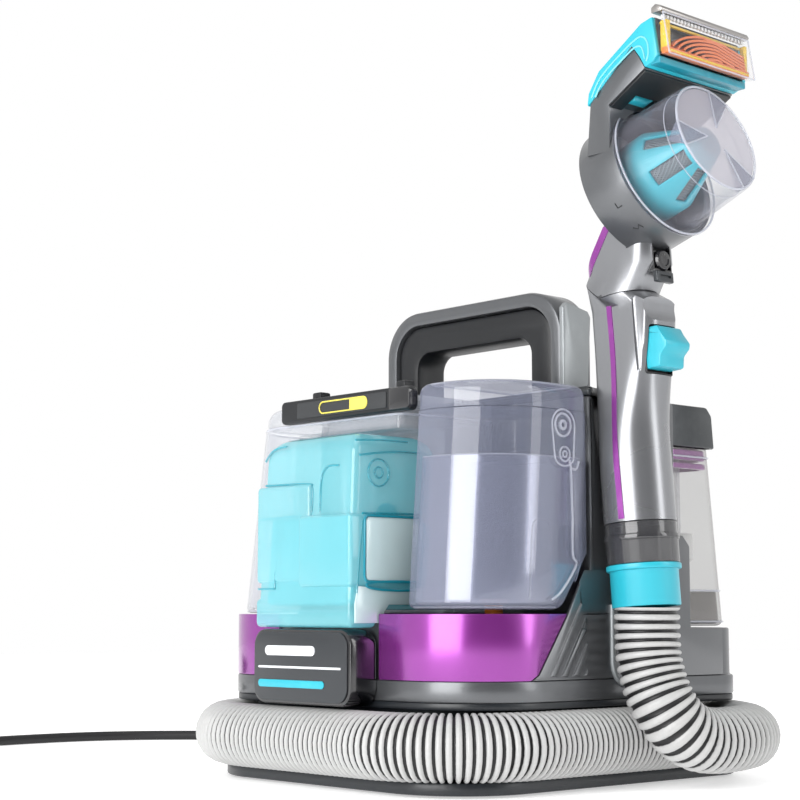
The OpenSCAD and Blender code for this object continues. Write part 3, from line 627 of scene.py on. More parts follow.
def makeHose():
    route = smoothPath(hoseRoute(), 6)
    mesh = runTree(ribbedTree(), pathObject("hose_path", route), {
        "Outer radius": hose["radius"] * mm, "Core share": hose["core"] / hose["radius"],
        "Pitch": hose["pitch"] * mm, "Ring pitch": hose["ringPitch"] * mm, "Hang length": hose["hangLength"],
        "Step": hose["ringPitch"] / hose["stepsPerRib"] * mm, "Sides": hose["sides"],
        "Material": materials["hosePlastic"]})
    print("hose faces:", len(mesh.polygons))
    asPiece("suction_hose_ribbed", mesh, "hosePlastic", "suction_hose", smooth=60)


makeHose()


# ---- wand and cup frames, and more ways to make a mesh ----
wand = dict(foot=(138, -3, 98.5), lean=4.5, radius=20, gripLow=-16, gripHigh=30, gripHalf=14.5, corner=9)
cup = dict(foot=(154.3, -3, 338.3), turn=72)


def inWand(x, y, s):  # s runs up the wand, x away from the housing
    c, n = math.cos(math.radians(wand["lean"])), math.sin(math.radians(wand["lean"]))
    return at(wand["foot"][0] + x * c - s * n, wand["foot"][1] + y, wand["foot"][2] + x * n + s * c)


def inCup(x, y, s):  # s runs out along the cup, x points down
    c, n = math.cos(math.radians(cup["turn"])), math.sin(math.radians(cup["turn"]))
    return at(cup["foot"][0] + x * c + s * n, cup["foot"][1] + y, cup["foot"][2] - x * n + s * c)


def turned(profile, frameOf, sides=72):  # profile of (radius, height) pairs, turned about the s axis
    closedRing = profile[0][0] > 0
    verts = [frameOf(r * math.cos(t), r * math.sin(t), s) for r, s in profile
             for t in (math.tau * k / sides for k in range(sides))]
    n = len(profile)
    faces = [(i % n * sides + k, i % n * sides + (k + 1) % sides, (i + 1) % n * sides + (k + 1) % sides,
              (i + 1) % n * sides + k) for i in range(n if closedRing else n - 1) for k in range(sides)]
    return cleaned(meshOf(verts, faces), 2e-7)


def plate(outline, frameOf, low, high, edge=0, segments=2):  # an outline given a thickness
    n = len(outline)
    verts = [frameOf(u, v, d) for d in (low, high) for u, v in outline]
    faces = [tuple(range(n - 1, -1, -1)), tuple(range(n, 2 * n))]
    faces += [(k, (k + 1) % n, n + (k + 1) % n, n + k) for k in range(n)]
    mesh = cleaned(meshOf(verts, faces), 1e-7)
    return softEdges(mesh, edge, segments, 30) if edge else mesh


def carved(mesh, *cutters, how="DIFFERENCE"):
    for cutter in cutters:
        tool = bpy.data.objects.new("cutter", cutter)
        bpy.context.scene.collection.objects.link(tool)
        mesh = withModifiers(mesh, ("BOOLEAN", dict(operation=how, solver="EXACT", object=tool)))
        bpy.data.objects.remove(tool)
    return mesh


def boxIn(frameOf, x0, x1, y0, y1, z0, z1, edge=0, segments=3):
    corners = [frameOf(x, y, z) for z in (z0, z1) for x, y in ((x0, y0), (x1, y0), (x1, y1), (x0, y1))]
    faces = [(3, 2, 1, 0), (4, 5, 6, 7), (0, 1, 5, 4), (1, 2, 6, 5), (2, 3, 7, 6), (3, 0, 4, 7)]
    mesh = cleaned(meshOf(corners, faces))
    return softEdges(mesh, edge, segments) if edge else mesh


def onFront(x, z, y):  # plate frames that face the front, the right side and up
    return at(x, y, z)


def onSide(y, z, x):
    return at(x, y, z)


def wandSide(u, v, d):  # a plate that lies along the wand and faces across it
    return inWand(u, d, v)


def wandFace(u, v, d):  # a plate that lies along the wand and faces away from the housing
    return inWand(d, u, v)


def circleAt(frameOf, u, v, radius, depth, steps=28):
    return [frameOf(u + radius * math.cos(t), v + radius * math.sin(t), depth)
            for t in (math.tau * k / steps for k in range(steps))]


def arcAt(frameOf, middle, reach, depth, start, end, turn):  # angles in whole degrees, end included
    return [frameOf(middle[0] + reach[0] * math.cos(t), middle[1] + reach[1] * math.sin(t), depth)
            for t in (math.radians(a) for a in range(start, end + 1, turn))]


def ringBead(ring, z, radius):  # a round bead along a closed ring at one height
    return tube([at(x, y, z) for x, y in ring], radius, 8, True)


def pill(x0, x1, z0, z1, steps=8):
    r = (z1 - z0) / 2 - 0.01
    return roundRect(x0, x1, z0, z1, (r, r, r, r), steps)


def lineOf(points, steps=6):  # a bead's points, with its corners rounded by a curve
    return [at(*p) for p in smoothPath(points, steps)]


# ---- front tanks ----
frontTanks = dict(left=-112, leftEnd=46, rightStart=58, right=116.6, front=-109, lean=8, rear=-27,
                  low=97.2, rim=206, corner=44, wall=2.2, water=180, slant=(-47, 96, -24.4, 128), dome=221,
                  leftLow=95.6, leftDome=218.4, bay=(-44.6, -67.4, 197.6))


def tankLean(z):
    return max(0, min(1, (z - 95) / 111)) * frontTanks["lean"]


def rightRing(inset, z):
    y0, z0, y1, z1 = frontTanks["slant"]
    rear = min(y1, y0 + (z - z0) * (y1 - y0) / (z1 - z0)) - inset
    return roundRect(frontTanks["rightStart"] + inset, frontTanks["right"] - inset,
                     frontTanks["front"] + tankLean(z) + inset, rear,
                     (frontTanks["corner"] - inset, 5, 3, 5), 12)


def leftRing(inset, z):
    return roundRect(frontTanks["left"] + tankLean(z) + inset, frontTanks["leftEnd"] - inset,
                     frontTanks["front"] + tankLean(z) + inset, frontTanks["rear"] - inset,
                     (4, 5, 9, frontTanks["corner"] - inset), 12)


def makeRightTank():
    t = frontTanks
    outer = rounded(rightRing, t["low"], t["rim"] - 0.3, 4, 0.2, (128, 150))
    asPiece("right_tank_shell", outer, "clearBlue", "right_tank", smooth=50)
    water = rounded(lambda i, z: rightRing(i + t["wall"], z), t["low"] + t["wall"],
                    t["water"], 3, 0.4, (128, 150))
    asPiece("right_tank_water", water, "water", "right_tank", False, 50)
    rim = t["rim"]
    lid = rounded(lambda i, z: rightRing(i + 0.4, rim), rim + 0.1, t["dome"], 0.2, 6)
    asPiece("right_tank_dome", lid, "clearBlue", "right_tank_lid", smooth=60)
    rims = ((t["wall"] + 0.3, t["water"], 0.45), (t["wall"], t["low"] + 1.2, 0.6), (5, t["dome"] - 0.9, 0.5))
    beads = [ringBead(rightRing(inset, z), z, thick) for inset, z, thick in rims]
    side = t["right"] - 0.2
    lines = ((side, ((-39.4, 175.8), (-38.6, 150), (-38.6, 127.5), (-36, 121.5), (-47, 107.8),
                     (-55.6, 102.4))),
             (side - 2.9, ((-70, 102.4), (-68.6, 125), (-67.3, 141), (-64.5, 145), (-57, 145.4), (-53.6, 142),
                           (-52.4, 125), (-51.4, 105.2))),
             (side, ((-33, 178), (-35.5, 173.5), (-39.4, 174.5), (-40.5, 178.5))))
    beads += [tube(lineOf([(x, y, z) for y, z in path]), 0.75) for x, path in lines]
    stadium = arcAt(onSide, (-45, 197.4), (9, 8.6), side, 0, 180, 15)
    stadium += arcAt(onSide, (-44.5, 180), (7.5, 5), side, 180, 360, 15)
    beads.append(tube(stadium, 0.55, closed=True))
    dials = ((-45.4, 197.4, 6.2, 0.7), (-45.4, 197.4, 2.2, 0.9), (-44.1, 181.5, 4, 0.6),
             (-44.1, 181.5, 1.6, 0.6))
    beads += [tube(circleAt(onSide, y, z, r, side), thick, closed=True) for y, z, r, thick in dials]
    # the tank's rims, side ridges and marks drawn as painted highlight lines
    asPiece("right_tank_beads", joined(beads), "clearHighlightLine", "right_tank", False)
    panel = plate([(-30.5, 176), (-37.5, 176), (-37, 128), (-33.5, 122), (-36, 112), (-30.5, 124)],
                  onSide, side - 2.4, side + 0.1, 0.6)
    asPiece("right_tank_corner", panel, "clearBlue", "right_tank", False)


def makeLeftTank():
    t = frontTanks
    wall, low, rim = t["wall"], t["leftLow"], t["rim"]
    left, rear, top = t["bay"]  # the bay in the tank's front that takes the pod
    shell = rounded(leftRing, low, rim - 0.3, 3, 0.8, (150,))
    hollow = rounded(lambda i, z: leftRing(i + wall, z), low + wall, rim + 6, 2, 0.5, (150,))
    bay = boxIn(at, left, 60, -150, rear, 90, top, 3)
    bayWall = boxIn(at, left - wall, 60, -150, rear + wall, 90, top + wall, 4)
    shell = carved(shell, carved(hollow, bayWall), bay)
    asPiece("left_tank_shell", shell, "clear", "left_tank", smooth=45)
    lid = rounded(lambda i, z: leftRing(i + 1, rim), rim + 0.5, t["leftDome"], 0.6, 8)
    lid = carved(lid, boxIn(at, -57.6, 60, -130, -97.4, 190, 230, 0))
    asPiece("left_tank_dome", lid, "clear", "left_tank_lid", smooth=60)
    foot = carved(ringBead(leftRing(1, low), low + 1, 0.7), boxIn(at, left, 60, -150, -60, 80, 99))
    edge = tube(lineOf([(-108, -66, 97), (-104.5, -64.5, 150), (-100.5, -63, 204)]), 0.6)
    beads = [ringBead(leftRing(0.1, rim), rim - 0.4, 0.7), edge, foot]
    # the rim, the foot and a line up the left side drawn as painted highlight lines
    asPiece("left_tank_beads", joined(beads), "clearHighlightLine", "left_tank", False)


makeRightTank()
makeLeftTank()

# ---- solution pod ----
pod = dict(half=42, front=-134, rear=-70, low=97.2, top=194.6, level=148.5)


def podRing(inset, z):
    t = (z - pod["low"]) / (pod["top"] - pod["low"])
    return roundRect(-pod["half"] + 3 * t + inset, pod["half"] - 0.5 * t - inset,
                     pod["front"] + 4 * t + inset, pod["rear"] - inset, (4, 4, 4, 7), 6)


def makePod():
    body = rounded(podRing, pod["low"], pod["top"], 1.5, 12, (130, 150))
    tongue = boxIn(at, -42, 42, -134, -114.4, 87.4, 104, 3)
    panel = boxIn(at, -2, 43.1, -135.2, -104, 109.5, 149.4, 2.4)
    upper = boxIn(at, -41.4, 6.6, -133.9, -104, 112, 167, 2.4)
    asPiece("pod_body", carved(body, tongue, panel, upper, how="UNION"), "podCyan", "formula_pod", smooth=40)
    liquid = rounded(lambda i, z: podRing(i + 3, z), pod["low"] + 2.4, pod["level"], 2, 0.4, (120,))
    asPiece("pod_liquid", liquid, "podLiquid", "formula_pod", False, 50)
    front, side = pod["front"] - 0.2, pod["half"] + 0.7
    fronts = (((-36, 168), (2, 167), (6, 165), (6.6, 160), (6.6, 151)),
              ((29, 176), (20, 176), (15, 172), (13.7, 163), (13.7, 151)), ((-40, 148.6), (-3, 149.4)),
              ((-39, 109), (-24, 109)), ((-24, 109), (-24, 148)), ((-37, 182), (-30, 188), (-18, 189.6)))
    sides = (((-131, 189), (-112, 190), (-93, 190)), ((-128, 181), (-105, 184), (-84, 184.5)),
             ((-126, 149.3), (-100, 150), (-76, 150)), ((-130, 106), (-126, 146)))
    lean = 4 / 97
    beads = [tube(lineOf([(x, front + lean * (z - 97), z) for x, z in path]), 0.6) for path in fronts]
    beads += [tube(lineOf([(side, y, z) for y, z in path]), 0.6) for path in sides]
    beads += [tube(circleAt(onSide, -114, 172, r, side - 0.3), 0.5, closed=True) for r in (7.5, 3)]
    asPiece("pod_lines", joined(beads), "podLine", "formula_pod", False)
    pale = plate(roundRect(-124, -76, 113, 147.5, (3, 3, 3, 3)), onSide, side - 0.3, side + 1, 0.5)
    lower = plate([(-131, 100), (-129, 110), (-112, 108.6), (-76, 108.6), (-76, 100), (-106.7, 100),
                            (-110, 96), (-111.4, 90), (-131, 90)], onSide, side - 1.1, side + 0.2, 0.4)
    asPiece("pod_side_panels", joined([pale, lower]), "podPale", "formula_pod", False)
    ellipse = arcAt(onSide, (-99.5, 110.3), (24, 2.6), side + 0.4, 0, 351, 9)
    panelEdge = [at(side + 0.7, y, z) for y, z in roundRect(-125, -75.5, 112.4, 148.2, (3, 3, 3, 3), 4)]
    outlines = [tube(points, 0.7, closed=True) for points in (ellipse, panelEdge)]
    asPiece("pod_side_outline", joined(outlines), "tealDark", "formula_pod", False)


makePod()


# ---- labels and badge ----
marks = [  # name, outline, its front and back, edge radius, material, node
    ("latch_label", roundRect(-41, 38, 209, 218.2, (1, 1, 1, 1), 3), -105, -104.3, 0.2, "label", "latch_bar"),
    ("latch_cap", roundRect(40.5, 57.2, 207.6, 219.6, (2.4, 2.4, 1, 1), 5), -105.2, -98.2, 0.5, "blackGloss",
     "latch_bar"),
    ("badge_line", pill(-36, 36, 65, 66.2, 4), -135.6, -135.1, 0, "paleMark", "badge_plate"),
    ("badge_bar", pill(-30, 14, 72, 77.5, 6), -135.7, -135.1, 0.15, "paleMark", "badge_plate"),
    ("badge_bar_cyan", pill(-36, 22, 54.4, 58.6, 6), -135.7, -135.1, 0.15, "cyan", "badge_plate")]


def makeMarks():
    softCopy("latch_bar", 1.6, "blackSoft", 3)
    for name, outline, front, back, edge, material, node in marks:
        asPiece(name, plate(outline, onFront, front, back, edge), material, node, False)
    ring = tube([onFront(x, z, -105.1) for x, z in pill(-20, 22, 210.4, 217)], 0.45, 8, True)
    half = plate(roundRect(7, 21.8, 210.6, 216.8, (3, 3, 0.3, 0.3), 6), onFront, -105.3, -104.8, 0.1)
    asPiece("latch_pill", joined([ring, half]), "labelYellow", "latch_bar", False)


makeMarks()


# ---- wand ----
grip = dict(taperLow=72, taperHigh=150, end=226, seamLow=171, trigger=(125.4, 152.2), waist=13.2,
            lineLow=3.6, lineHigh=1.6, knob=188.5)
gripLevels = [60, 70] + [74 + 4 * k for k in range(24)]


def gripEdge(angle):  # distance from the grip's middle to its rounded rectangle, at an angle
    halfX, halfY, r = (wand["gripHigh"] - wand["gripLow"]) / 2, wand["gripHalf"], wand["corner"]
    low, high = 0.0, 40.0
    for _ in range(24):
        mid = (low + high) / 2
        qx = abs(mid * math.cos(angle)) - halfX + r
        qy = abs(mid * math.sin(angle)) - halfY + r
        if math.hypot(max(qx, 0), max(qy, 0)) + min(max(qx, qy), 0) < r:
            low = mid
        else:
            high = mid
    return low


def gripPoint(angle, s, proud=0.0):  # the wand's skin: a round tube that turns into the grip
    t = ease((s - grip["taperLow"] - 24 * max(0, math.cos(angle))) / (grip["taperHigh"] - grip["taperLow"]))
    middle = t * (wand["gripLow"] + wand["gripHigh"]) / 2
    reach = (1 - t) * wand["radius"] + t * gripEdge(angle) + proud
    return middle + reach * math.cos(angle), reach * math.sin(angle)


def seamAt(x):  # height of the joint between wand and tool, lowest on the broad side
    return grip["seamLow"] + max(-x * 0.75, x * 0.13)


def wandRing(s, sides=96, gap=None):
    ring = []
    for k in range(sides):
        x, y = gripPoint(math.tau * k / sides, s)
        ring.append(inWand(x, y, s if gap is None else seamAt(x) + gap))
    return ring


def wandBand(angles, levels, proud=0.45):  # a thin strip that lies on the wand's skin
    verts = []
    for s in levels:
        for depth in (proud, -0.6):
            for angle in (angles(s) if depth > 0 else reversed(angles(s))):
                x, y = gripPoint(math.radians(angle), s, depth)
                verts.append(inWand(x, y, s))
    n = len(verts) // len(levels)
    return stack([verts[i * n:(i + 1) * n] for i in range(len(levels))])


def lineAngle(s, shift):  # where on the skin the coloured line runs, in degrees
    target = grip["lineLow"] + (grip["lineHigh"] - grip["lineLow"]) * (s - 47) / 127 + shift
    low, high = -140.0, -40.0
    for _ in range(24):
        mid = (low + high) / 2
        if gripPoint(math.radians(mid), s)[0] < target:
            low = mid
        else:
            high = mid
    return low


def makeWand():
    low, high = grip["trigger"]
    body = stack([wandRing(s) for s in [46.2, 47] + gripLevels] + [wandRing(0, gap=-0.2)])
    cutters = [boxIn(inWand, 15, 50, -11.2, 11.2, low, high, 1.5),
               plate(circleAt(lambda u, v, d: (u, v), 36, 162.4, 11, 0, 48), wandSide, -40, 40)]
    for side in (-1, 1):
        outline = [(18, 168), (21, 171), (45, 171), (45, 124), (22, 124), (18, 128)]
        cutters.append(plate(outline, wandSide, *sorted((side * grip["waist"], side * 40)), 1.2))
    cutters.append(turned([(0, 155), (10.1, 155), (10.1, 200), (0, 200)], inWand, 40))
    asPiece("wand_casing", carved(body, *cutters), "silverGrey", "wand_body", smooth=40)
    well = boxIn(inWand, 15.2, 22.6, -11, 11, low + 0.2, high - 0.2, 1)
    well = carved(well, boxIn(inWand, 19, 60, -10.7, 10.7, low + 1, high - 1))
    asPiece("trigger_well", well, "blackSoft", "wand_body", False)
    stripe = wandBand(lambda s: [lineAngle(s, x) for x in (-1.7, 0, 1.7)],
                      [47.5] + gripLevels + [169])
    asPiece("wand_line", stripe, "purple", "wand_stripe", smooth=50)


def alongKnob(x, y, s):
    return inWand(s, y, grip["knob"] + x)


def makeNeck():
    levels = [188, 205, 215, grip["end"] + 2]
    body = stack([wandRing(0, gap=0.25)] + [wandRing(s) for s in levels])
    drum = turned([(0, -27), (38.8, -27), (38.8, 150), (0, 150)], inCup, 64)
    arch = [(-7.8, 182.6), (7.8, 182.6)] + arcAt(lambda u, v, d: (u, v), (0, 195), (7.8, 7.8), 0, 0, 180, 15)
    recess = plate(arch, wandFace, 25, 45)
    slant = plate([(-60, 188), (-16.2, 188), (3, 214), (14, 250), (-60, 250)], wandSide, -40, 40)
    spigot = turned([(0, 156), (9.4, 156), (9.9, 157), (9.9, 184), (0, 184)], inWand, 40)
    asPiece("neck_casing", joined([carved(body, drum, recess, slant), spigot]), "silverGrey",
            "tool_neck", smooth=40)
    liner = plate([(u * 0.99, v) for u, v in arch], wandFace, 24.6, 29.9)
    hollow = plate([(u * 0.9, 183.4 + (v - 182.6) * 0.94) for u, v in arch], wandFace, 25.4, 40)
    knobHole = turned([(0, 20), (6.1, 20), (6.1, 40), (0, 40)], alongKnob, 32)
    asPiece("release_recess", carved(liner, hollow, knobHole), "blackGloss", "tool_neck", False)
    tab = boxIn(inWand, 28.2, 31.6, -7, 7, 176, 182.2, 0.8)
    tab = carved(tab, boxIn(inWand, 30.6, 33, -4.5, 4.5, 178.4, 179.9))
    asPiece("release_catch", tab, "satinPlate", "tool_neck", False)
    button = turned([(0, 24.8), (5.9, 24.8), (5.9, 30.6), (5, 31.8), (3.4, 32), (2.9, 31.4), (0, 31.2)],
                    alongKnob, 40)
    asPiece("release_knob", button, "blackGloss", "release_button", smooth=40)
    around = [gripPoint(math.tau * k / 96, 200, 0.35) for k in range(96)]
    skin = stack([[inWand(x, y, s) for x, y in around] for s in (184, 216)])
    strip = plate([(-17, 186.6), (-16.4, 187.6), (1.8, 212.4), (7.6, 212.4), (-11.6, 186.6)],
                  wandSide, -20, 20)
    asPiece("neck_line", carved(skin, strip, how="INTERSECT"), "purple", "neck_stripe", smooth=50)


makeWand()
makeNeck()


# ---- rows of equal pieces, by Geometry Nodes ----
def rowTree():
    tree, given, leave = geometryTree("row", [("Count", "NodeSocketInt"), ("Step", "NodeSocketVector"),
                                              ("Material", "NodeSocketMaterial")])
    row = put(tree, "GeometryNodeMeshLine", {"mode": "OFFSET"},
              {"Count": given["Count"], "Offset": given["Step"]})
    row = put(tree, "GeometryNodeInstanceOnPoints", {}, {"Points": row, "Instance": given["Geometry"]})
    row = put(tree, "GeometryNodeRealizeInstances", {}, {"Geometry": row})
    row = put(tree, "GeometryNodeSetMaterial", {}, {"Geometry": row, "Material": given["Material"]})
    tree.links.new(row.socket, leave.inputs[0])
    return tree


row = rowTree()


def inRow(name, unit, count, stepMm, material):
    base = bpy.data.objects.new(name, unit)
    bpy.context.scene.collection.objects.link(base)
    return runTree(row, base, {"Count": count, "Step": Vector(stepMm) * mm, "Material": materials[material]})


# ---- tool head ----
head = dict(left=-41, right=35, finCount=7, finReach=42, finStep=4.3, finTop=6, teeth=24)


def finPath(k):  # one comb fin: a quarter of an ellipse, then a slope down to the right
    wide = head["finReach"] - head["finStep"] * k
    high = wide * 0.45
    path = [(head["finTop"] - wide * math.cos(t), 389 + high * math.sin(t))
            for t in (math.pi / 2 * j / 16 for j in range(17))]
    path += [(head["finTop"] + j * 3.5, 389 + high - 0.7 * j) for j in range(1, 9)]
    return [(u, v) for u, v in path if 395 < v < 407.2 and u < head["right"] - 3]


def ribbon(path, thick, low, high):  # a strip on edge, through points of a face that looks right
    rings = []
    for i, (u, v) in enumerate(path):
        a, b = path[max(i - 1, 0)], path[min(i + 1, len(path) - 1)]
        run = math.hypot(b[0] - a[0], b[1] - a[1])
        nu, nv = -(b[1] - a[1]) / run * thick / 2, (b[0] - a[0]) / run * thick / 2
        shift = (v - 402) * -0.14
        rings.append([at(low + shift, u + nu, v + nv), at(high + shift, u + nu, v + nv),
                      at(high + shift, u - nu, v - nv), at(low + shift, u - nu, v - nv)])
    return stack(rings)


def makeHead():
    low, high = head["left"], head["right"]
    fins = [ribbon(finPath(k), 1.25, 183.4, 187) for k in range(head["finCount"])]
    asPiece("comb_fins", joined(fins), "finOrange", "brush_fins")
    back = plate([(182.6, 391.4), (183.4, 391.4), (180.6, 412.4), (179.8, 412.4)], onFront,
                 low + 2.2, high - 2.2)
    asPiece("window_back", back, "darkMetal", "tool_frame", False)
    under = plate([(149.4, 369.4), (149.4, 370.6), (174.2, 385), (174.4, 383.8)], onFront,
                  low + 1, high - 1, 0.3)
    under = carved(under, boxIn(at, 149, 160, -31, -13, 360, 380))
    asPiece("head_underside", under, "blackSoft", "tool_shell", False)
    strip = boxIn(at, 184.2, 188.4, low + 2.5, high - 2.5, 391.6, 395.2, 0.4)
    asPiece("comb_strip", strip, "finOrange", "brush_fins", False)
    bars = ((183.6, 188, low + 2.6, low + 6, 393, 410, 0.4),
            (184, 187.4, high - 5, high - 2.6, 393, 410, 0.4),
            (182.8, 184.4, low + 3, high - 3, 408.2, 409.6, 0.3),
            (186.6, 188.8, low + 3, high - 3, 392.6, 394, 0.3))
    asPiece("comb_frame", joined([boxIn(at, *bar) for bar in bars]), "yellow", "brush_frame")
    dot = turned([(0, -0.4), (0.7, -0.4), (0.7, 0.4), (0, 0.4)],
                 lambda x, y, s: at(188 + s * 0.6, low + 4.3 + x, 395 + y), 10)
    dots = inRow("comb_dots", dot, 6, (-0.42, 0, 2.6), "orange")
    asPiece("comb_dots", dots, "orange", "brush_frame", False)
    tooth = boxIn(at, 183.4, 185.6, low + 3.4, low + 5.2, 411.6, 413.6, 0.4, 2)
    toothStep = (0, (high - low - 8.6) / (head["teeth"] - 1), 0)
    teeth = inRow("lip_teeth", tooth, head["teeth"], toothStep, "white")
    asPiece("lip_teeth", teeth, "white", "nozzle_window", False)
    asPiece("frame_underside", boxIn(at, 176.8, 184.6, low + 1, high - 1, 386.6, 390.4, 0.6), "tealDark",
            "tool_frame", False)
    contour = ((137.2, 377), (144, 387), (160, 397.6), (170, 402.6), (174.5, 402.4), (177.2, 399), (178, 393),
               (176.4, 388.6))
    inner = ((140, 376.8), (146, 384.6), (161, 394.2), (168.6, 398), (172.6, 397.6), (174.4, 394.4),
             (175.4, 390))
    beads = [tube(lineOf([(x, low - 0.6, z) for x, z in path]), 0.5) for path in (contour, inner)]
    asPiece("frame_contour", joined(beads), "cyanPale", "tool_frame", False)
    lowLeft, lowRight = at(191, low + 1, 390.4), at(191, high - 1, 390.4)
    topLeft, topRight = at(187, low + 1, 413.8), at(187, high - 1, 413.8)
    edges = [tube(ends, 0.45, 8) for ends in ([lowLeft, topLeft], [lowRight, topRight],
                                                      [lowLeft, lowRight], [topLeft, topRight])]
    # the window's edges drawn as painted highlight lines
    asPiece("window_edges", joined(edges), "clearHighlightLine", "nozzle_window", False)
    lip = plate([(179.6, 414.3), (186.4, 414.3), (187.2, 415.6), (186, 417.6), (182.4, 419), (179.6, 417.4)],
                onFront, low, high, 0.5)
    asPiece("lip_bar", lip, "silver", "nozzle_lip")
    lines = (((-1.06, -12), (-0.98, -12), (-0.98, -9)),
             ((-0.62, -13), (-0.56, -11), (-0.62, -9), (-0.54, -8)))
    ticks = [tube([inCup(39.05 * math.cos(a), 39.05 * math.sin(a), s) for a, s in path], 0.35, 6)
             for path in lines]
    asPiece("lock_marks", joined(ticks), "blackSoft", "tool_shell", False)
    ring = turned([(36.6, -0.4), (38.9, -0.4), (38.9, 0.25), (36.6, 0.25)], inCup)
    asPiece("cup_seal", ring, "blackSoft", "tool_shell", False)


# ---- hair cup ----
hairCup = dict(rim=40, mouth=35.5, end=32.2, length=40, wedges=(35, 155, 275), wedgeHalf=7.5, apex=8,
               reach=31)


def makeCup():
    c = hairCup
    rim, mouth, end, length = c["rim"], c["mouth"], c["end"], c["length"]
    profile = [(rim - 0.4, 0.35), (rim, 0.9), (rim, 2.2), (rim - 0.6, 2.8), (mouth, 3), (mouth - 0.4, 3.6),
               (end + 0.4, length - 3), (end, length - 1), (end - 1.2, length), (end - 2.4, length - 1),
               (end - 1.6, length - 3), (mouth - 2.2, 3.6), (mouth - 2, 0.35)]
    asPiece("hair_cup_wall", turned(profile, inCup), "cupClear", "hair_cup", smooth=50)
    disc = turned([(0, 38.2), (end - 2.2, 38.2), (end - 1.8, 38.8), (end - 2.2, 39.4), (0, 39.4)], inCup)
    wedges, ribs = [], []
    for angle in c["wedges"]:
        t = math.radians(angle)
        outward, across = Vector((math.cos(t), math.sin(t), 0)), Vector((-math.sin(t), math.cos(t), 0))
        face = Vector((0, 0, length - 0.4))
        corners = [outward * c["apex"] + face, outward * c["reach"] + across * c["wedgeHalf"] + face,
                   outward * c["reach"] - across * c["wedgeHalf"] + face,
                   outward * (c["reach"] + 0.2) + Vector((0, 0, length - 10))]
        faces = [(0, 1, 2), (0, 3, 1), (0, 2, 3), (1, 3, 2)]
        wedges.append(cleaned(meshOf([inCup(*p) for p in corners], faces)))
        for corner in corners[1:3]:
            ribs.append(tube([inCup(*corners[0].lerp(corner, k / 4)) for k in range(5)], 0.55, 8))
    asPiece("hair_cup_end", disc, "cupFace", "hair_cup", False, 50)
    asPiece("hair_cup_wedges", joined(wedges), "clearBlue", "hair_cup", False, 20)
    rims = [tube(circleAt(inCup, 0, 0, r, s, 64), thick, 8, True)
            for r, s, thick in ((end - 1, length - 0.4, 0.7), (rim - 0.6, 2.6, 0.6), (end - 0.4, 31, 0.3))]
    # the cup's rims and wedge edges drawn as painted highlight lines
    asPiece("hair_cup_rims", joined(ribs + rims), "clearHighlightLine", "hair_cup", False, 50)


makeHead()
makeCup()


# ---- recovery tank ----
recovery = dict(right=112.5, front=50.5, rearLow=101, rearHigh=89, low=88, high=192, float=(96, 71))


def makeRecovery():
    r = recovery

    def ring(inset, z):
        t = (z - r["low"]) / (r["high"] - r["low"])
        rear = r["rearLow"] + (r["rearHigh"] - r["rearLow"]) * t
        return roundRect(-r["right"] + inset, r["right"] - inset, r["front"] + inset, rear - inset,
                         (4, 8, 8, 4), 8)
    shell = rounded(ring, r["low"], r["high"], 3, 0.5, (130,))
    asPiece("recovery_shell", shell, "smokeTank", "recovery_tank", smooth=50)
    foot = rounded(lambda i, z: ring(i + 1.4, z), 89.2, 108, 2, 0.5)
    asPiece("recovery_foot", foot, "footBrown", "recovery_tank", False, 50)
    x, y = r["float"]
    pipe = turned([(6, 0), (7.4, 0), (7.4, 29), (6, 29)], lambda u, v, s: at(x + u, y + v, 92 + s), 40)
    neck = [tube(circleAt(at, x, y, 7.8, z), 0.9, closed=True) for z in (93, 107, 120.4)]
    plateWall = boxIn(at, 52, 81, 61, 62.4, 94, 176, 0.4)
    asPiece("recovery_pipe", joined([pipe, plateWall] + neck), "clear", "recovery_tank", False)
    rims = [ringBead(ring(-0.2, z), z, 0.6) for z in (90.5, 108.6, 187)]
    corner = tube(lineOf([(112, 52.5, 92), (112, 52.5, 140), (112, 52.5, 186)]), 0.7)
    # the tank's rims and right front corner drawn as painted highlight lines
    asPiece("recovery_beads", joined(rims + [corner]), "clearHighlightLine", "recovery_tank", False)
    gaskets = []
    for z, tall in ((180, 3.4), (185, 6.4)):
        opening = rounded(lambda i, h: ring(i + 3.4, h), z - 2, z + tall + 2, 0.5, 0.5)
        gaskets.append(carved(rounded(lambda i, h: ring(i + 1.2, h), z, z + tall, 0.8, 0.8), opening))
    asPiece("recovery_seal", joined(gaskets), "purple", "recovery_gasket")


makeRecovery()


# ---- handle cheek and dock outline ----
dock = dict(x=117.4, left=-8, right=21.5, low=56, top=100, corner=12, bead=1.7)


def makeTrim():
    cheek = plate([(-2.6, 221), (-2.6, 273), (0.6, 276), (19, 272.4), (21.4, 269), (18.6, 229), (12, 222)],
                  onSide, 74.6, 78.2, 0.9)
    asPiece("handle_cheek", cheek, "cheekGrey", "handle_shell", False)
    x, r, middle = dock["x"], dock["corner"], dock["low"] + dock["corner"]
    outline = [at(x, dock["left"], dock["top"]), at(x, dock["left"], middle + 16)]
    outline += arcAt(onSide, (dock["left"] + r, middle), (r, r), x, 180, 270, 15)
    outline += arcAt(onSide, (dock["right"] - r, middle), (r, r), x, 270, 360, 15)
    outline += [at(x, dock["right"], middle + 16), at(x, dock["right"], dock["top"])]
    asPiece("dock_outline", tube(outline, dock["bead"], 12), "cheekGrey", "side_panel_right", False)


makeTrim()


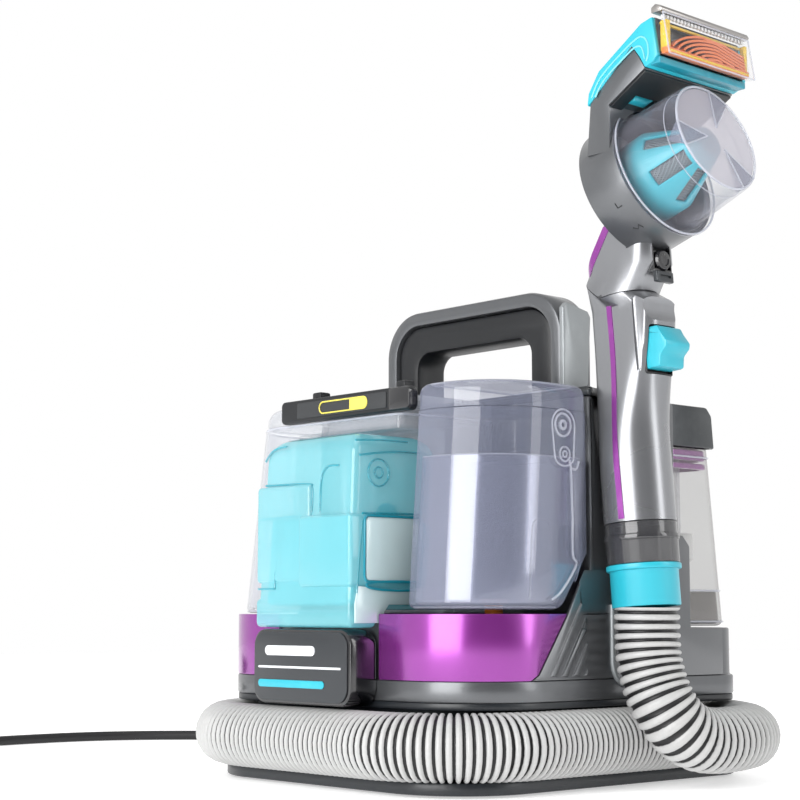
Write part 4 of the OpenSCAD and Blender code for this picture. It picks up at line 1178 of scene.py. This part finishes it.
# ---- housing and the plain moulded pieces: node, edge radius in mm, material ----
softPieces = [
    ("base_plate", 1.2, "darkBase"), ("feet", 0.5, "rubber"), ("hose_channel", 0.8, "darkBase"),
    ("hose_inlet", 0.8, "darkBase"), ("body_shell", 1.0, "greyMetal"), ("purple_band_right", 0.4, "purple"),
    ("purple_band_left", 0.4, "purple"), ("badge_box", 1.6, "blackGloss"), ("badge_plate", 0.5, "satinPlate"),
    ("side_panel_right", 0.6, "greyMetal"), ("side_panel_left", 0.6, "greyMetal"),
    ("tower_shell", 2.0, "greyMetal"), ("top_cover", 1.2, "darkMetal"), ("handle_shell", 2.6, "greyMetal"),
    ("handle_grip", 3.6, "blackSoft"), ("hose_cuff", 0.7, "cyan"), ("hose_connector", 0.5, "smoke"),
    ("trigger", 1.4, "cyan"), ("tool_shell", 0.4, "greyMetal"), ("tool_frame", 0.9, "cyan"),
    ("nozzle_window", 0.3, "windowClear"), ("tool_latch", 0.6, "cyan"), ("cone_filter", 0.5, "cyan"),
    ("filter_mesh", 0.1, "filterCloth"), ("pod_plug", 0.3, "tealDark"), ("tank_latches", 1.2, "blackSoft"),
    ("tank_valve", 0.5, "orange"), ("recovery_lid", 1.4, "darkMetal"), ("float", 1.2, "white"),
    ("float_guide", 0.4, "clear"), ("motor_can", 1.0, "motorSteel"), ("impeller", 0.3, "motorSteel"),
    ("bearings", 0.3, "motorSteel"), ("pump", 1.0, "darkBase"), ("power_button", 0.8, "blackSoft"),
    ("cord_hook", 0.6, "blackSoft"), ("screws", 0.3, "motorSteel"),
]


def makeSoftPieces():
    for node, width, material in softPieces:
        softCopy(node, width, material)
    print("moulded pieces made")


makeSoftPieces()


# ---- floor and light ----
studio = dict(floor=3, glow=0.5, level=0.9, dark=0.06, above=0.5)


def makeFloor():
    half = studio["floor"]
    corners = ((-half, -half, 0), (half, -half, 0), (half, half, 0), (-half, half, 0))
    mesh = meshOf(corners, [(0, 1, 2, 3)])
    material, tree = newMaterial("paleFloor")
    soft = noise(tree, 3, 3)
    close(tree, {"Base Color": blendColour(tree, soft, (0.86, 0.86, 0.86), (0.9, 0.9, 0.9)), "Roughness": 0.6,
                 "Emission Color": (1, 1, 1, 1), "Emission Strength": studio["glow"]})
    mesh.materials.append(material)
    floor = bpy.data.objects.new("floor", mesh)
    bpy.context.scene.collection.objects.link(floor)


def makeWorld():
    world = bpy.data.worlds.new("studio")
    bpy.context.scene.world = world
    world.use_nodes = True
    tree = world.node_tree
    tree.nodes.clear()
    turn = math.radians(camera["azimuth"])
    coords = put(tree, "ShaderNodeTexCoord", out="Generated")
    front = put(tree, "ShaderNodeVectorMath", {"operation": "DOT_PRODUCT"},
                {0: coords, 1: (math.sin(turn), -math.cos(turn), 0.0)}, out="Value")
    height = put(tree, "ShaderNodeSeparateXYZ", {}, {0: coords}, out="Z")
    dark = step(tree, front, 0.35, 0.8)
    above = step(tree, height, 0.35, 0.8)
    low = studio["level"] - dark * (studio["level"] - studio["dark"])
    level = low * (1.0 - above) + above * studio["above"]
    shown = put(tree, "ShaderNodeLightPath", out="Is Camera Ray")
    level = level * (1.0 - shown) + shown * 1.0
    light = put(tree, "ShaderNodeBackground", {}, {"Color": (1, 1, 1, 1), "Strength": level})
    out = tree.nodes.new("ShaderNodeOutputWorld")
    tree.links.new(light.socket, out.inputs["Surface"])


def makeLight(name, azimuth, rise, distance, size, power):
    data = bpy.data.lights.new(name, "AREA")
    data.shape = "RECTANGLE"
    data.size, data.size_y = size
    data.energy = power
    lamp = bpy.data.objects.new(name, data)
    bpy.context.scene.collection.objects.link(lamp)
    a, e = math.radians(azimuth), math.radians(rise)
    aim = at(0, 0, 150)
    away = Vector((math.sin(a) * math.cos(e), -math.cos(a) * math.cos(e), math.sin(e)))
    lamp.location = aim + away * distance
    lamp.rotation_euler = (aim - lamp.location).to_track_quat("-Z", "Y").to_euler()


makeFloor()
makeWorld()
makeLight("leftSoftbox", 12, 12, 1.5, (1.0, 1.3), 25)
makeLight("rightSoftbox", 112, 20, 1.5, (0.4, 1.2), 5)
makeLight("topSoftbox", 40, 80, 1.6, (1.0, 1.0), 5)
